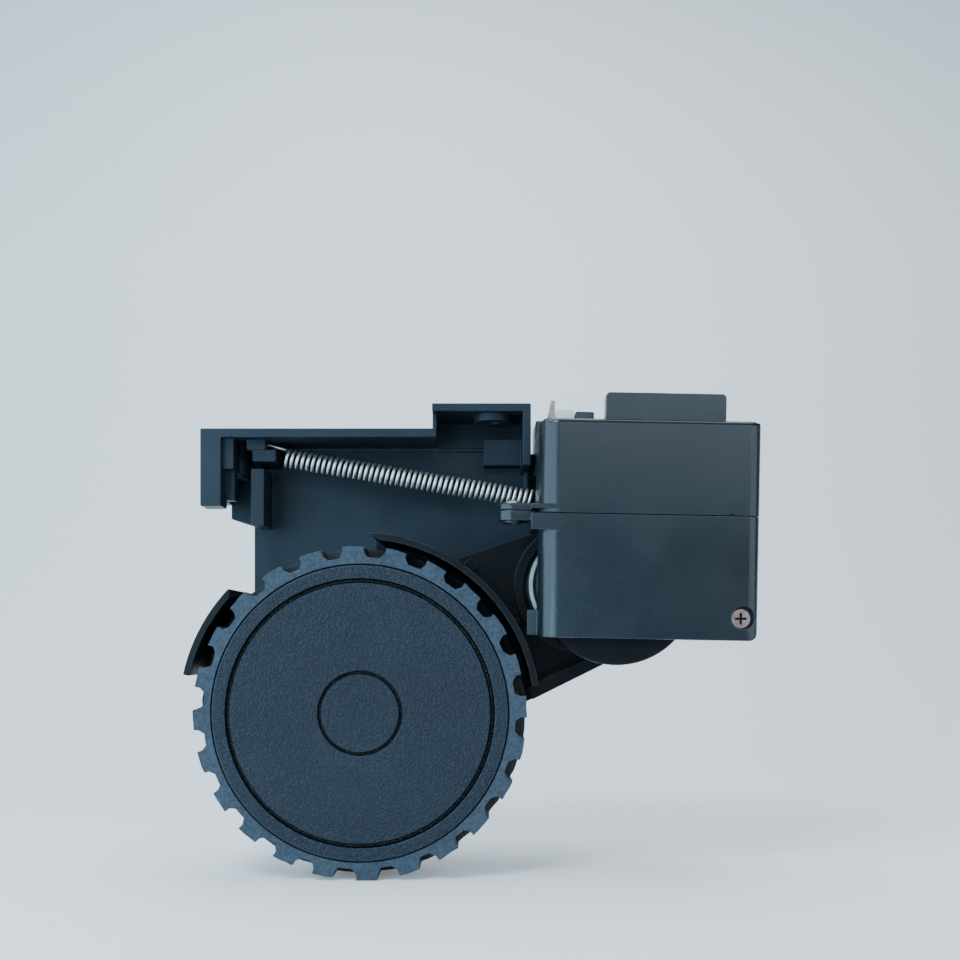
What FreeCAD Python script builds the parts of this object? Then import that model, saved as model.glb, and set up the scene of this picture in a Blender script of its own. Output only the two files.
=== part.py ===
import FreeCAD, Part
import math
import os
import re
from types import SimpleNamespace
from FreeCAD import Placement, Rotation, Vector

# Robot vacuum wheel module, in millimetres. X runs right along the robot's side, Z up, and Y from
# the wheel's outer face into the robot. Pieces are drawn from the wheel's outer face, and their
# Placement then shifts them to the chassis screw hole on top of the bracket.

doc = FreeCAD.newDocument("WheelModule")
sheet = doc.addObject("Spreadsheet::Sheet", "dim")

sizes = {
    # Chassis screw hole on top of the bracket: the origin of the finished part
    "hole_x": 5.0, "hole_y": 26.5, "hole_z": 52.65,
    # Axes of the arm's pivot, the wheel and the motor, and the small tilt of the two-piece box
    "pivot_x": 31.0, "pivot_z": 11.0, "wheel_x": -23.2, "wheel_z": -15.9, "motor_x": 24.0, "motor_z": 11.2,
    "box_tilt": 1.1,
    # Tyre
    "tyre_radius": 35.0, "tread_depth": 2.3, "lug_count": 24, "lug_angle": 2.3,
    "tyre_front": 0.3, "tyre_middle": 9.0, "tyre_back": 18.0, "tyre_seat": 28.5, "tyre_lip": 31.2,
    # Wheel cap
    "cap_radius": 31.0, "cap_thick": 2.0, "cap_edge": 0.5, "cap_skirt": 25.9, "cap_skirt_wall": 1.4,
    "cap_depth": 6.0, "groove_outer": 27.6, "groove_inner": 8.5, "groove_wide": 1.2, "groove_deep": 0.8,
    # Wheel rim and axle
    "rim_wall": 2.5, "rim_back": 17.5, "web_front": 8.0, "web_thick": 2.0, "hub_radius": 6.5,
    "hub_front": 4.0, "hub_back": 19.6, "rib_thick": 1.6, "rib_count": 6,
    "axle_radius": 2.0, "axle_end": 36.2, "running_gap": 0.05, "fixed_gap": 0.05, "press_gap": 0.02,
    # Arm: plate, gearbox and guards over the wheel
    "plate_front": 22.5, "plate_thick": 2.0, "box_half": 14.8, "box_upper": 16.2, "box_wall": 1.4,
    "cover_front": 34.5, "cover_thick": 2.0, "guard_outer": 37.8, "guard_wall": 1.4, "guard_front": 0.2,
    "guard_start": 9.0, "guard_end": 87.5, "tail_start": 136.5, "tail_end": 167.7,
    "collar_radius": 14.35, "collar_wall": 1.95, "collar_front": 18.5, "plate_disc": 30.0, "pivot_disc": 17.2,
    "lug_x": 17.2, "lug_z": 31.1, "lug_radius": 1.5, "lug_head": 2.3, "lug_end": 31.2,
    "trunnion_radius": 7.0, "trunnion_end": 41.2, "pin_radius": 1.0, "arm_post": 2.4,
    # Gear train
    "gear_module": 0.6, "pressure_angle": 25.0, "backlash": 0.12,
    "level_a": 25.3, "level_b": 28.6, "level_c": 31.7, "gear_top": 34.1, "face_a": 2.8, "face_b": 2.6,
    "gear_step": 0.5, "neck_radius": 2.6, "output_hub": 4.0, "bore_long": 20.0,
    # Drum on the pivot, and the motor that it covers
    "drum_front": 4.6, "drum_radius": 17.0, "drum_wall": 1.4, "drum_post": 1.9, "drum_post_out": 13.9,
    "drum_start": 255.0, "drum_end": 455.0, "swing_radius": 22.8,
    "can_front": 9.0, "can_radius": 11.5, "can_wall": 0.8, "stub_radius": 4.0, "stub_front": 2.4,
    "shaft_radius": 1.0, "bush_radius": 2.6, "core_radius": 7.8, "magnet_gap": 0.6, "commutator_radius": 2.6,
    "can_screw_out": 7.5, "encoder_radius": 8.3,
    # Two-piece box over the drum
    "shell_left": 14.0, "shell_right": 60.3, "shell_bottom": -0.35, "shell_top": 45.6, "shell_back": 37.0,
    "shell_wall": 2.0, "shell_split": 25.7, "split_gap": 0.1, "left_round": 4.2, "right_round": 2.6,
    "ear_x": 8.6, "ear_y": 7.0, "ear_radius": 3.2, "ear_split": 26.5, "ear_low": 24.3, "ear_high": 28.0,
    "corner_x": 56.5, "corner_z": 4.3, "corner_radius": 2.2, "corner_front": 2.4, "post_radius": 3.0,
    "top_round": 1.3, "bottom_round": 2.1, "band_top": 27.5, "head_deep": 0.75,
    "raised_left": 27.6, "raised_right": 52.9, "raised_top": 51.35, "raised_front": 1.5, "raised_back": 5.0,
    "raised_round": 0.9,
    # Bracket
    "tray_left": -61.0, "tray_front": 20.0, "tray_back": 37.0, "back_thick": 2.0, "tray_top": 47.0,
    "tray_wall": 2.0, "step_left": -8.8, "step_right": 13.5, "step_wall": 1.8, "tray_low": 29.5,
    "plate_left": -51.8, "plate_low": -8.0, "seat_radius": 10.0, "seat_end": 41.0,
    "screw_hole": 1.6, "boss_deep": 3.4, "left_hole_x": -54.9, "left_hole_y": 31.5, "riser_wall": 1.0,
    "rear_ear_x": 53.0, "rear_ear_y": 43.5,
    # Tension spring
    "coil_start_x": -43.3, "coil_start_z": 41.5, "coil_end_x": 14.0, "coil_end_z": 32.0,
    "spring_y": 28.0, "coil_radius": 1.9, "wire_radius": 0.36, "coil_turns": 47,
    "coil_runs": 12,
    "hook_x": -48.3, "hook_z": 43.7, "hook_pin": 0.6,
    # Wheel-drop switch and the parts on the board
    "switch_left": 34.0, "switch_long": 12.8, "switch_low": 33.2, "switch_tall": 6.4,
    "switch_front": 28.0, "switch_deep": 6.0, "lever_x": 35.2, "lever_z": 31.9,
    "hinge_radius": 0.25,
    "board_low": 38.4, "board_thick": 1.2,
}
s = SimpleNamespace(**sizes)

for row, (alias, value) in enumerate(sizes.items(), start=1):
    sheet.set(f"A{row}", alias)
    sheet.set(f"B{row}", str(value))
    sheet.setAlias(f"B{row}", alias)
doc.recompute()

nodes = []


def bound(text):
    """Turn an expression in plain aliases into one that reads them from the sheet."""
    def in_sheet(word):
        return word.group(0) if word.group(0) in ("cos", "sin") else "dim." + word.group(0)
    return re.sub(r"[a-z]\w*", in_sheet, text if isinstance(text, str) else f"{text:.6f}")


def bind(item, **places):
    for name, text in places.items():
        item.setExpression(name.replace("__", "."), bound(text))
    return item


def carrier(item, label):
    """A plain rod or block keeps its own place inside a compound, which then takes the shift."""
    return group(label + "_piece", [item]) if item.TypeId in ("Part::Cylinder", "Part::Box") else item


def finish(item, label, x="0", y="0", z="0"):
    """Name a sub-part and shift it from the wheel's face to the chassis screw hole."""
    item = carrier(item, label)
    item.Label = label
    bind(item, Placement__Base__x=f"{x} - hole_x", Placement__Base__y=f"{y} - hole_y",
         Placement__Base__z=f"{z} - hole_z")
    nodes.append(item)


def finish_tilted(item, label):
    """Name a sub-part of the box, which leans a little about the arm's pivot."""
    item = carrier(item, label)
    item.Label = label
    item.Placement = Placement(Vector(), Rotation(Vector(0, 1, 0), s.box_tilt))
    bind(item, Placement__Base__x="pivot_x - pivot_x * cos(box_tilt) - pivot_z * sin(box_tilt) - hole_x",
         Placement__Base__y="0 - hole_y",
         Placement__Base__z="pivot_z + pivot_x * sin(box_tilt) - pivot_z * cos(box_tilt) - hole_z")
    nodes.append(item)


def tilted(x, z):
    """Where a point of the box stands after the box's tilt."""
    lean = math.radians(s.box_tilt)
    across, up = x - s.pivot_x, z - s.pivot_z
    return (s.pivot_x + across * math.cos(lean) + up * math.sin(lean),
            s.pivot_z - across * math.sin(lean) + up * math.cos(lean))


# Solids that the sub-parts are made from

turns = {"X": Rotation(Vector(0, 1, 0), 90), "Y": Rotation(Vector(1, 0, 0), -90), "Z": Rotation()}


def rod(name, radius, length, x, y, z, axis="Y"):
    item = doc.addObject("Part::Cylinder", name)
    item.Placement = Placement(Vector(), turns[axis])
    return bind(item, Radius=radius, Height=length,
                Placement__Base__x=x, Placement__Base__y=y, Placement__Base__z=z)


def block(name, x0, x1, y0, y1, z0, z1):
    item = doc.addObject("Part::Box", name)
    return bind(item, Length=f"{x1} - ({x0})", Width=f"{y1} - ({y0})", Height=f"{z1} - ({z0})",
                Placement__Base__x=x0, Placement__Base__y=y0, Placement__Base__z=z0)


def join(name, *solids):
    item = doc.addObject("Part::MultiFuse", name)
    item.Shapes = list(solids)
    return item


def cut(name, base, *tools):
    item = doc.addObject("Part::Cut", name)
    item.Base = base
    item.Tool = tools[0] if len(tools) == 1 else join(name + "_tools", *tools)
    return item


def within(name, base, limits):
    item = doc.addObject("Part::Common", name)
    item.Base = base
    item.Tool = limits
    return item


def group(name, solids):
    item = doc.addObject("Part::Compound", name)
    item.Links = solids
    return item


def ring(name, outer, inner, length, x, y, z):
    return cut(name, rod(name + "_outer", outer, length, x, y, z),
               rod(name + "_bore", inner, length, x, y, z))


def rounded(points):
    """Edges of a closed outline, from its corners as (across, up, corner radius)."""
    starts, ends, arcs = [], [], []
    for index, (x, z, radius) in enumerate(points):
        corner = Vector(x, z, 0)
        before = Vector(*points[index - 1][:2], 0)
        after = Vector(*points[(index + 1) % len(points)][:2], 0)
        back = (before - corner).normalize()
        ahead = (after - corner).normalize()
        if not radius:
            starts.append(corner)
            ends.append(corner)
            arcs.append(None)
            continue
        half = back.getAngle(ahead) / 2
        reach = radius / math.tan(half)
        middle = (back + ahead).normalize() * (radius / math.sin(half) - radius)
        starts.append(corner + back * reach)
        ends.append(corner + ahead * reach)
        arcs.append(Part.Arc(starts[-1], corner + middle, ends[-1]))
    edges = []
    for index in range(len(points)):
        if arcs[index]:
            edges.append(arcs[index])
        following = (index + 1) % len(points)
        if ends[index].distanceToPoint(starts[following]) > 1e-6:
            edges.append(Part.LineSegment(ends[index], starts[following]))
    return edges


def at_angle(x, z, radius, degrees):
    turn = math.radians(degrees)
    return Vector(x + radius * math.cos(turn), z + radius * math.sin(turn), 0)


def band(x, z, outer, inner, start, end, inner_start=None, inner_end=None):
    """Edges of a curved band about (x, z), whose two ends may be slanted."""
    inner_start = start if inner_start is None else inner_start
    inner_end = end if inner_end is None else inner_end
    rim = [at_angle(x, z, outer, angle) for angle in (start, (start + end) / 2, end)]
    bore = [at_angle(x, z, inner, angle)
            for angle in (inner_end, (inner_start + inner_end) / 2, inner_start)]
    return [Part.Arc(*rim), Part.LineSegment(rim[2], bore[0]), Part.Arc(*bore),
            Part.LineSegment(bore[2], rim[0])]


def prism(name, edges, front, length):
    """A solid along Y from an outline in X and Z."""
    sketch = doc.addObject("Sketcher::SketchObject", name + "_sketch")
    sketch.addGeometry(edges, False)
    sketch.Placement = Placement(Vector(), Rotation(Vector(1, 0, 0), 90))
    bind(sketch, Placement__Base__y=front)
    return extruded(name, sketch, Vector(0, 1, 0), length)


def prism_up(name, edges, low, length):
    """A solid along Z from an outline in X and Y."""
    sketch = doc.addObject("Sketcher::SketchObject", name + "_sketch")
    sketch.addGeometry(edges, False)
    bind(sketch, Placement__Base__z=low)
    return extruded(name, sketch, Vector(0, 0, 1), length)


def extruded(name, sketch, direction, length):
    item = doc.addObject("Part::Extrusion", name)
    item.Base = sketch
    item.DirMode = "Custom"
    item.Dir = direction
    item.Solid = True
    return bind(item, LengthFwd=length)


def screw(name, head, head_long, shank, shank_long, x, y, z, way=1):
    """A cross-head screw along Y: its head's outer face is at y, and way is +1 when it goes deeper."""
    top = y if way > 0 else f"{y} - {head_long}"
    under = f"{y} + {head_long}" if way > 0 else f"{y} - {head_long} - {shank_long}"
    solid = join(name + "_solid", rod(name + "_head", head, head_long, x, top, z),
                 rod(name + "_shank", shank, shank_long, x, under, z))
    deep = f"0.55 * {head_long}"
    start = y if way > 0 else f"{y} - {deep}"
    arm, half = f"0.62 * {head}", f"0.13 * {head}"
    cross = [block(name + "_slot_x", f"{x} - {arm}", f"{x} + {arm}", start, f"{start} + {deep}",
                   f"{z} - {half}", f"{z} + {half}"),
             block(name + "_slot_z", f"{x} - {half}", f"{x} + {half}", start, f"{start} + {deep}",
                   f"{z} - {arm}", f"{z} + {arm}")]
    return cut(name, solid, *cross)


# Sketches and features of the pieces that are made as one moulding

def new_body(name):
    return doc.addObject("PartDesign::Body", name)


def body_sketch(body, name, role, edges, lift="0"):
    sketch = body.newObject("Sketcher::SketchObject", name)
    plane = next(item for item in body.Origin.OriginFeatures if item.Role == role)
    sketch.AttachmentSupport = (plane, [""])
    sketch.MapMode = "FlatFace"
    sketch.addGeometry(edges, False)
    bind(sketch, AttachmentOffset__Base__z=lift)
    return sketch


def feature(body, kind, name, sketch, backwards=False, **lengths):
    item = body.newObject("PartDesign::" + kind, name)
    item.Profile = sketch
    item.Reversed = backwards
    sketch.Visibility = False
    return bind(item, **lengths)


def around(body, name, original, sketch, count):
    pattern = body.newObject("PartDesign::PolarPattern", name)
    pattern.Originals = [original]
    pattern.Axis = (sketch, ["N_Axis"])
    pattern.Angle = 360
    bind(pattern, Occurrences=count)
    body.Tip = pattern
    return pattern


def revolved(label, profile):
    """A turned or moulded round piece from its half section as (radius, y, corner radius)."""
    body = new_body(label)
    sketch = body_sketch(body, label + "_section", "XY_Plane", rounded(profile))
    turning = body.newObject("PartDesign::Revolution", label + "_turning")
    turning.Profile = sketch
    turning.ReferenceAxis = (sketch, ["V_Axis"])
    turning.Angle = 360
    return body


# Tyre: two rows of lugs, the rear row half a pitch on, with six-sided notches between the lugs

def notch(angle):
    floor = s.tyre_radius - s.tread_depth
    shape = [(s.tyre_radius + 1.0, -2.35), (s.tyre_radius + 1.0, 2.35), (floor + 1.1, 2.2), (floor, 1.15),
             (floor, -1.15), (floor + 1.1, -2.2)]
    turn = math.radians(angle)
    return rounded([(r * math.cos(turn) - w * math.sin(turn), r * math.sin(turn) + w * math.cos(turn), 0)
                    for r, w in shape])


def circle(radius, x=0.0, z=0.0):
    return Part.Circle(Vector(x, z, 0), Vector(0, 0, 1), radius)


half_pitch = 180.0 / s.lug_count
tyre = new_body("tyre_body")
blank = body_sketch(tyre, "tyre_blank", "XZ_Plane", [circle(s.tyre_radius), circle(s.tyre_seat)],
                    "0 - tyre_front")
feature(tyre, "Pad", "tyre_pad", blank, True, Length="tyre_back - tyre_front")
lip = body_sketch(tyre, "tyre_lip_sketch", "XZ_Plane", [circle(s.tyre_lip)], "0 - tyre_front")
feature(tyre, "Pocket", "tyre_lip_pocket", lip, Length="cap_thick - tyre_front + 0.1")
front_notch = body_sketch(tyre, "front_notch", "XZ_Plane", notch(s.lug_angle + half_pitch), "0 - tyre_front")
front_cut = feature(tyre, "Pocket", "front_cut", front_notch, Length="tyre_middle - tyre_front")
around(tyre, "front_row", front_cut, front_notch, "lug_count")
rear_notch = body_sketch(tyre, "rear_notch", "XZ_Plane", notch(s.lug_angle), "0 - tyre_middle")
rear_cut = feature(tyre, "Pocket", "rear_cut", rear_notch, Length="tyre_back - tyre_middle")
around(tyre, "rear_row", rear_cut, rear_notch, "lug_count")
finish(tyre, "tyre", "wheel_x", "0", "wheel_z")

# Wheel cap: a turned face with a fine outer groove and a small inner one, and a skirt behind


def groove(radius):
    half = s.groove_wide / 2
    return [(radius + half, 0, 0), (radius + half / 4, s.groove_deep, 0),
            (radius - half / 4, s.groove_deep, 0), (radius - half, 0, 0)]


cap = revolved("cap_body", [
    (0, 0, 0), *reversed(groove(s.groove_inner)), *reversed(groove(s.groove_outer)),
    (s.cap_radius, 0, s.cap_edge), (s.cap_radius, s.cap_thick, 0), (s.cap_skirt, s.cap_thick, 0),
    (s.cap_skirt, s.cap_depth, 0), (s.cap_skirt - s.cap_skirt_wall, s.cap_depth, 0),
    (s.cap_skirt - s.cap_skirt_wall, s.cap_thick, 0), (0, s.cap_thick, 0)])
finish(cap, "wheel_cap", "wheel_x", "0", "wheel_z")

# Wheel rim: band, web, hub and ribs in one moulding

rim_inner = "tyre_seat - rim_wall"
rim_solids = [
    ring("rim_band", "tyre_seat", rim_inner, "rim_back - cap_thick - 0.1", "0", "cap_thick + 0.1", "0"),
    rod("rim_web", "tyre_seat - 1", "web_thick", "0", "web_front", "0"),
    rod("rim_hub", "hub_radius", "hub_back - hub_front", "0", "hub_front", "0"),
]
for index in range(int(s.rib_count)):
    rib = block(f"rim_rib_{index}", "hub_radius - 1", "tyre_seat - 1", "web_front + 1", "rim_back - 2",
                "0 - rib_thick / 2", "rib_thick / 2")
    rib.Placement.Rotation = Rotation(Vector(0, 1, 0), index * 60.0)
    turn = math.radians(index * 60.0)
    lengthwise, sideways = f"{math.cos(turn):.6f}", f"{math.sin(turn):.6f}"
    bind(rib, Placement__Base__x=f"(hub_radius - 1) * {lengthwise} - rib_thick / 2 * {sideways}",
         Placement__Base__z=f"0 - (hub_radius - 1) * {sideways} - rib_thick / 2 * {lengthwise}")
    rim_solids.append(rib)
rim = cut("rim", join("rim_solid", *rim_solids),
          rod("rim_bore", "axle_radius", "hub_back - hub_front", "0", "hub_front", "0"))
finish(rim, "wheel_rim", "wheel_x", "0", "wheel_z")

axle = cut("axle", rod("axle_solid", "axle_radius", "axle_end - hub_front", "0", "hub_front", "0"),
           rod("axle_thread", "1.25", "7", "0", "hub_front", "0"))
finish(axle, "wheel_axle", "wheel_x", "0", "wheel_z")
hub_screw = screw("hub_screw", "3", "1.6", "1.25", "6.5", "0", "hub_front - 1.6", "0")
finish(hub_screw, "wheel_screw", "wheel_x", "0", "wheel_z")

# Gear train: centres step from the motor to the wheel's axle in a shallow zigzag

teeth = [(13, 36), (14, 32), (14, 30), (15, 34)]
pivot = Vector(s.pivot_x, s.pivot_z, 0)
motor_centre = Vector(s.motor_x, s.motor_z, 0)
axle_centre = Vector(s.wheel_x, s.wheel_z, 0)
line = axle_centre - motor_centre
steps = [(driver + driven) * s.gear_module / 2 for driver, driven in teeth]
lean = math.acos(line.Length / sum(steps))
toward_wheel = math.atan2(line.y, line.x)
headings = [toward_wheel + lean, toward_wheel - lean]
centres = [motor_centre]
for heading, step in zip(headings, steps):
    centres.append(centres[-1] + Vector(math.cos(heading), math.sin(heading), 0) * step)
last_span = axle_centre - centres[2]
near = (last_span.Length ** 2 + steps[2] ** 2 - steps[3] ** 2) / (2 * last_span.Length)
headings.append(math.atan2(last_span.y, last_span.x) - math.acos(near / steps[2]))
centres.append(centres[2] + Vector(math.cos(headings[2]), math.sin(headings[2]), 0) * steps[2])
last_step = axle_centre - centres[3]
headings.append(math.atan2(last_step.y, last_step.x))


def involute(angle):
    return math.tan(angle) - angle


def gear(count, first_tooth, centre, front, length):
    """A spur gear with involute teeth about a centre in X and Z; first_tooth is an angle in radians."""
    pitch = s.gear_module * count / 2
    base = pitch * math.cos(math.radians(s.pressure_angle))
    tip = pitch + 0.8 * s.gear_module
    root = pitch - 1.1 * s.gear_module
    half_tooth = math.pi / (2 * count) - s.backlash / (2 * pitch) / 2
    start = max(base, root + 0.05)
    flank = []
    for share in (0.0, 0.33, 0.66, 1.0):
        radius = start + (tip - start) * share
        off = half_tooth + involute(math.radians(s.pressure_angle)) - involute(math.acos(base / radius))
        flank.append((radius, off))
    flank.insert(0, (root, flank[0][1]))
    points = []
    for tooth in range(count):
        middle = first_tooth + tooth * 2 * math.pi / count
        side = [(radius, middle - off) for radius, off in flank]
        side += [(radius, middle + off) for radius, off in reversed(flank)]
        points += [Vector(centre.x + radius * math.cos(angle), front, centre.y + radius * math.sin(angle))
                   for radius, angle in side]
    face = Part.Face(Part.makePolygon(points + [points[0]]))
    return face.extrude(Vector(0, length, 0))


def disc(radius, centre, front, length):
    return Part.makeCylinder(radius, length, Vector(centre.x, front, centre.y), Vector(0, 1, 0))


def set_feature(label, shape):
    item = doc.addObject("Part::Feature", label)
    item.Shape = shape.removeSplitter()
    finish(item, label)


def facing_gap(heading, count):
    """First tooth angle of a driven gear, so that a gap of it faces the gear before it."""
    return heading + math.pi + math.pi / count


pin_bore = s.pin_radius + s.running_gap
first, second, third = centres[1], centres[2], centres[3]
wide = gear(teeth[0][1], facing_gap(headings[0], teeth[0][1]), first, s.level_a, s.face_a)
small_low = s.level_a + s.face_a - s.gear_step
small = gear(teeth[1][0], headings[1], first, small_low, s.level_c - s.gear_step - small_low)
set_feature("gear_1", wide.fuse(small).cut(disc(pin_bore, first, s.level_a, s.bore_long)))
wide = gear(teeth[1][1], facing_gap(headings[1], teeth[1][1]), second, s.level_b, s.face_b)
small_low = s.level_b + s.face_b - s.gear_step
small = gear(teeth[2][0], headings[2], second, small_low, s.gear_top - small_low)
set_feature("gear_2", wide.fuse(small).cut(disc(pin_bore, second, s.level_a, s.bore_long)))
wide = gear(teeth[2][1], facing_gap(headings[2], teeth[2][1]), third, s.level_c, s.gear_top - s.level_c)
small = gear(teeth[3][0], headings[3], third, s.level_a, s.face_a)
neck = disc(s.neck_radius, third, s.level_a + s.gear_step, s.gear_top - s.level_a - 2 * s.gear_step)
set_feature("gear_3", wide.fuse([small, neck]).cut(disc(pin_bore, third, s.level_a, s.bore_long)))
wide = gear(teeth[3][1], facing_gap(headings[3], teeth[3][1]), axle_centre, s.level_a, s.face_a)
hub = disc(s.output_hub, axle_centre, s.level_a, s.gear_top - s.level_a)
axle_bore = disc(s.axle_radius + s.press_gap, axle_centre, s.level_a, s.bore_long)
set_feature("output_gear", wide.fuse(hub).cut(axle_bore))
pinion = gear(teeth[0][0], headings[0], motor_centre, s.level_a, s.face_a)
shaft_bore = disc(s.shaft_radius + s.press_gap, motor_centre, s.level_a, s.bore_long)
set_feature("motor_pinion", pinion.cut(shaft_bore))

# Arm shell: plate, guards, the motor's collar, the drum's wall, gearbox wall and the spring's post

along = (pivot - axle_centre).normalize()
beside = Vector(-along.y, along.x, 0)


def arm_point(u, v):
    """A point u along the arm from the wheel's axle and v above its centre line."""
    return axle_centre + along * u + beside * v


def arm_corner(u, v, radius):
    spot = arm_point(u, v)
    return (spot.x, spot.y, radius)


reach = (pivot - axle_centre).Length
low, high = -s.box_half, s.box_upper


def gearbox(inset):
    """The gearbox outline, inset all round by a wall."""
    left = -s.box_half + inset
    right = reach + s.box_half - inset
    bottom, top = low + inset, high - inset
    return rounded([arm_corner(left, bottom, 13.0 - inset), arm_corner(right, bottom, 14.0 - inset),
                    arm_corner(right, top, 14.0 - inset), arm_corner(left, top, 13.0 - inset)])


edge_left = (-3.0, 17.9)
edge_right = (13.8, 23.5)
arm_field = rounded([arm_corner(0, low, 0), arm_corner(reach - 3, low, 0), (s.pivot_x, s.pivot_z, 0),
                     (s.pivot_x - 12, s.pivot_z + 17.0, 0), (*edge_right, 0), (*edge_left, 0),
                     (-12.0, 14.5, 0), (s.wheel_x, s.wheel_z + 20.0, 0)])
plate_back = "plate_front + plate_thick"
centre_x, centre_z = s.wheel_x, s.wheel_z
guard_inner = s.guard_outer - s.guard_wall
guard_long = f"{plate_back} - guard_front"
post_spots = [arm_point(-12.2, -11.2), arm_point(15.0, 17.6), arm_point(40.0, 17.4),
              arm_point(reach + 15.6, 7.0)]
cam_lobe = at_angle(s.pivot_x, s.pivot_z, 20.3, 68.0)
shell_solids = [
    prism("arm_field", arm_field, "plate_front", "plate_thick"),
    rod("arm_disc", "plate_disc", "plate_thick", "wheel_x", "plate_front", "wheel_z"),
    rod("arm_pivot_disc", "pivot_disc", "plate_thick", "pivot_x", "plate_front", "pivot_z"),
    prism("guard_floor", band(centre_x, centre_z, s.guard_outer, 20.0, s.guard_start, s.guard_end),
          "plate_front", "plate_thick"),
    prism("tail_floor", band(centre_x, centre_z, s.guard_outer, 20.0, s.tail_start, s.tail_end),
          "plate_front", "plate_thick"),
    prism("guard", band(centre_x, centre_z, s.guard_outer, guard_inner, s.guard_start, s.guard_end,
                        s.guard_start, s.guard_end - 3.5), "guard_front", guard_long),
    prism("tail", band(centre_x, centre_z, s.guard_outer, guard_inner, s.tail_start, s.tail_end,
                       s.tail_start + 1.6, s.tail_end), "guard_front", guard_long),
    ring("collar", "collar_radius", "collar_radius - collar_wall", f"{plate_back} - collar_front",
         "motor_x", "collar_front", "motor_z"),
    rod("collar_floor", "collar_radius", "plate_thick", "motor_x", "plate_front", "motor_z"),
    prism("drum_wall", band(s.pivot_x, s.pivot_z, s.drum_radius, s.drum_radius - s.drum_wall - 0.2,
                            s.drum_start, s.drum_end), "can_front + fixed_gap", "plate_front - can_front"),
    cut("box_wall", prism("box_outer", gearbox(0), plate_back, f"cover_front - ({plate_back})"),
        prism("box_inner", gearbox(s.box_wall), plate_back, f"cover_front - ({plate_back})")),
    prism("box_floor", gearbox(0), "plate_front", "plate_thick"),
    prism("lower_rib", rounded([arm_corner(34, low, 0), arm_corner(reach - 8, low, 0),
                                arm_corner(reach - 8, low + 3.0, 0), arm_corner(34, low + 3.0, 0)]),
          "plate_front - 3", "3"),
    rod("axle_boss", "hub_radius", "2.3", "wheel_x", "plate_front - 2.3", "wheel_z"),
    rod("edge_boss", "1.5", "1.2", "0", "plate_front - 1.2", "16.2"),
    block("edge_tab", "9.6", "11.4", "plate_front - 2", "plate_front", "3.2", "4.1"),
    rod("lug_post", "lug_radius", f"lug_end - ({plate_back}) + 1", "lug_x", f"{plate_back} - 1", "lug_z"),
    rod("lug_cap", "lug_head", "1", "lug_x", "lug_end - 1", "lug_z"),
    prism("lug_arm", rounded([(19.5, 33.6, 2.0), (14.6, 33.2, 2.2), (14.6, 27.0, 0), (21.5, 25.5, 0)]),
          "plate_front", "plate_thick"),
    prism("switch_cam", band(s.pivot_x, s.pivot_z, 20.0, 15.0, 62.0, 102.0), "plate_front", "8"),
    rod("cam_lobe", "2", "8", cam_lobe.x, "plate_front", cam_lobe.y),
]
shell_cuts = [
    rod("bush_seat_front", "3.5", "6", "wheel_x", "plate_front - 2.5", "wheel_z"),
    rod("motor_pilot", "bush_radius + 0.02", "4", "motor_x", "plate_front - 1", "motor_z"),
]
drum_spots = [at_angle(s.pivot_x, s.pivot_z, s.drum_post_out, angle) for angle in (-35.0, 35.0)]
for index, spot in enumerate(drum_spots):
    shell_solids.append(rod(f"drum_post_{index}", "drum_post", "plate_front - can_front", spot.x,
                            "can_front + fixed_gap", spot.y))
    shell_cuts.append(rod(f"drum_post_bore_{index}", "0.85", "8", spot.x, "can_front", spot.y))
for index, spot in enumerate(post_spots):
    shell_solids.append(rod(f"arm_post_{index}", "arm_post", "cover_front - plate_front", spot.x,
                            "plate_front", spot.y))
    shell_cuts.append(rod(f"arm_post_bore_{index}", "0.95", "8", spot.x, "cover_front - 8", spot.y))
for index, spot in enumerate(centres[1:4]):
    shell_solids.append(rod(f"pin_boss_{index}", "2.2", "0.7", spot.x, plate_back, spot.y))
    shell_cuts.append(rod(f"pin_seat_{index}", "pin_radius", "3", spot.x, "plate_front + 0.5", spot.y))
screw_spots = [motor_centre + beside * s.can_screw_out, motor_centre - beside * s.can_screw_out]
for index, spot in enumerate(screw_spots):
    shell_cuts.append(rod(f"motor_screw_hole_{index}", "1.15", "4", spot.x, "plate_front - 1", spot.y))
arm_shell = cut("arm_shell_solid", join("arm_shell_blank", *shell_solids), *shell_cuts)
finish(arm_shell, "arm_shell")

# Arm cover with the rear trunnion

cover_back = "cover_front + cover_thick"
cover_solids = [prism("cover_plate", gearbox(0), "cover_front", "cover_thick"),
                rod("trunnion", "trunnion_radius", "trunnion_end - cover_front", "pivot_x", "cover_front",
                    "pivot_z")]
cover_cuts = [rod("trunnion_bore", "1.3", "10", "pivot_x", "trunnion_end - 8", "pivot_z"),
              rod("bush_seat_rear", "3.5", "3", "wheel_x", "cover_front - 0.5", "wheel_z")]
for index, spot in enumerate(post_spots):
    cover_solids.append(rod(f"cover_ear_{index}", "arm_post", "cover_thick", spot.x, "cover_front", spot.y))
    cover_cuts.append(rod(f"cover_hole_{index}", "1.05", "3", spot.x, "cover_front - 0.5", spot.y))
    cover_cuts.append(rod(f"cover_sink_{index}", "1.9", "2", spot.x, f"{cover_back} - 1.2", spot.y))
for index, spot in enumerate(centres[1:4]):
    cover_cuts.append(rod(f"cover_pin_seat_{index}", "pin_radius", "1.6", spot.x, "cover_front - 0.1",
                          spot.y))
arm_cover = cut("arm_cover_solid", join("arm_cover_blank", *cover_solids), *cover_cuts)
finish(arm_cover, "arm_cover")

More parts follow.
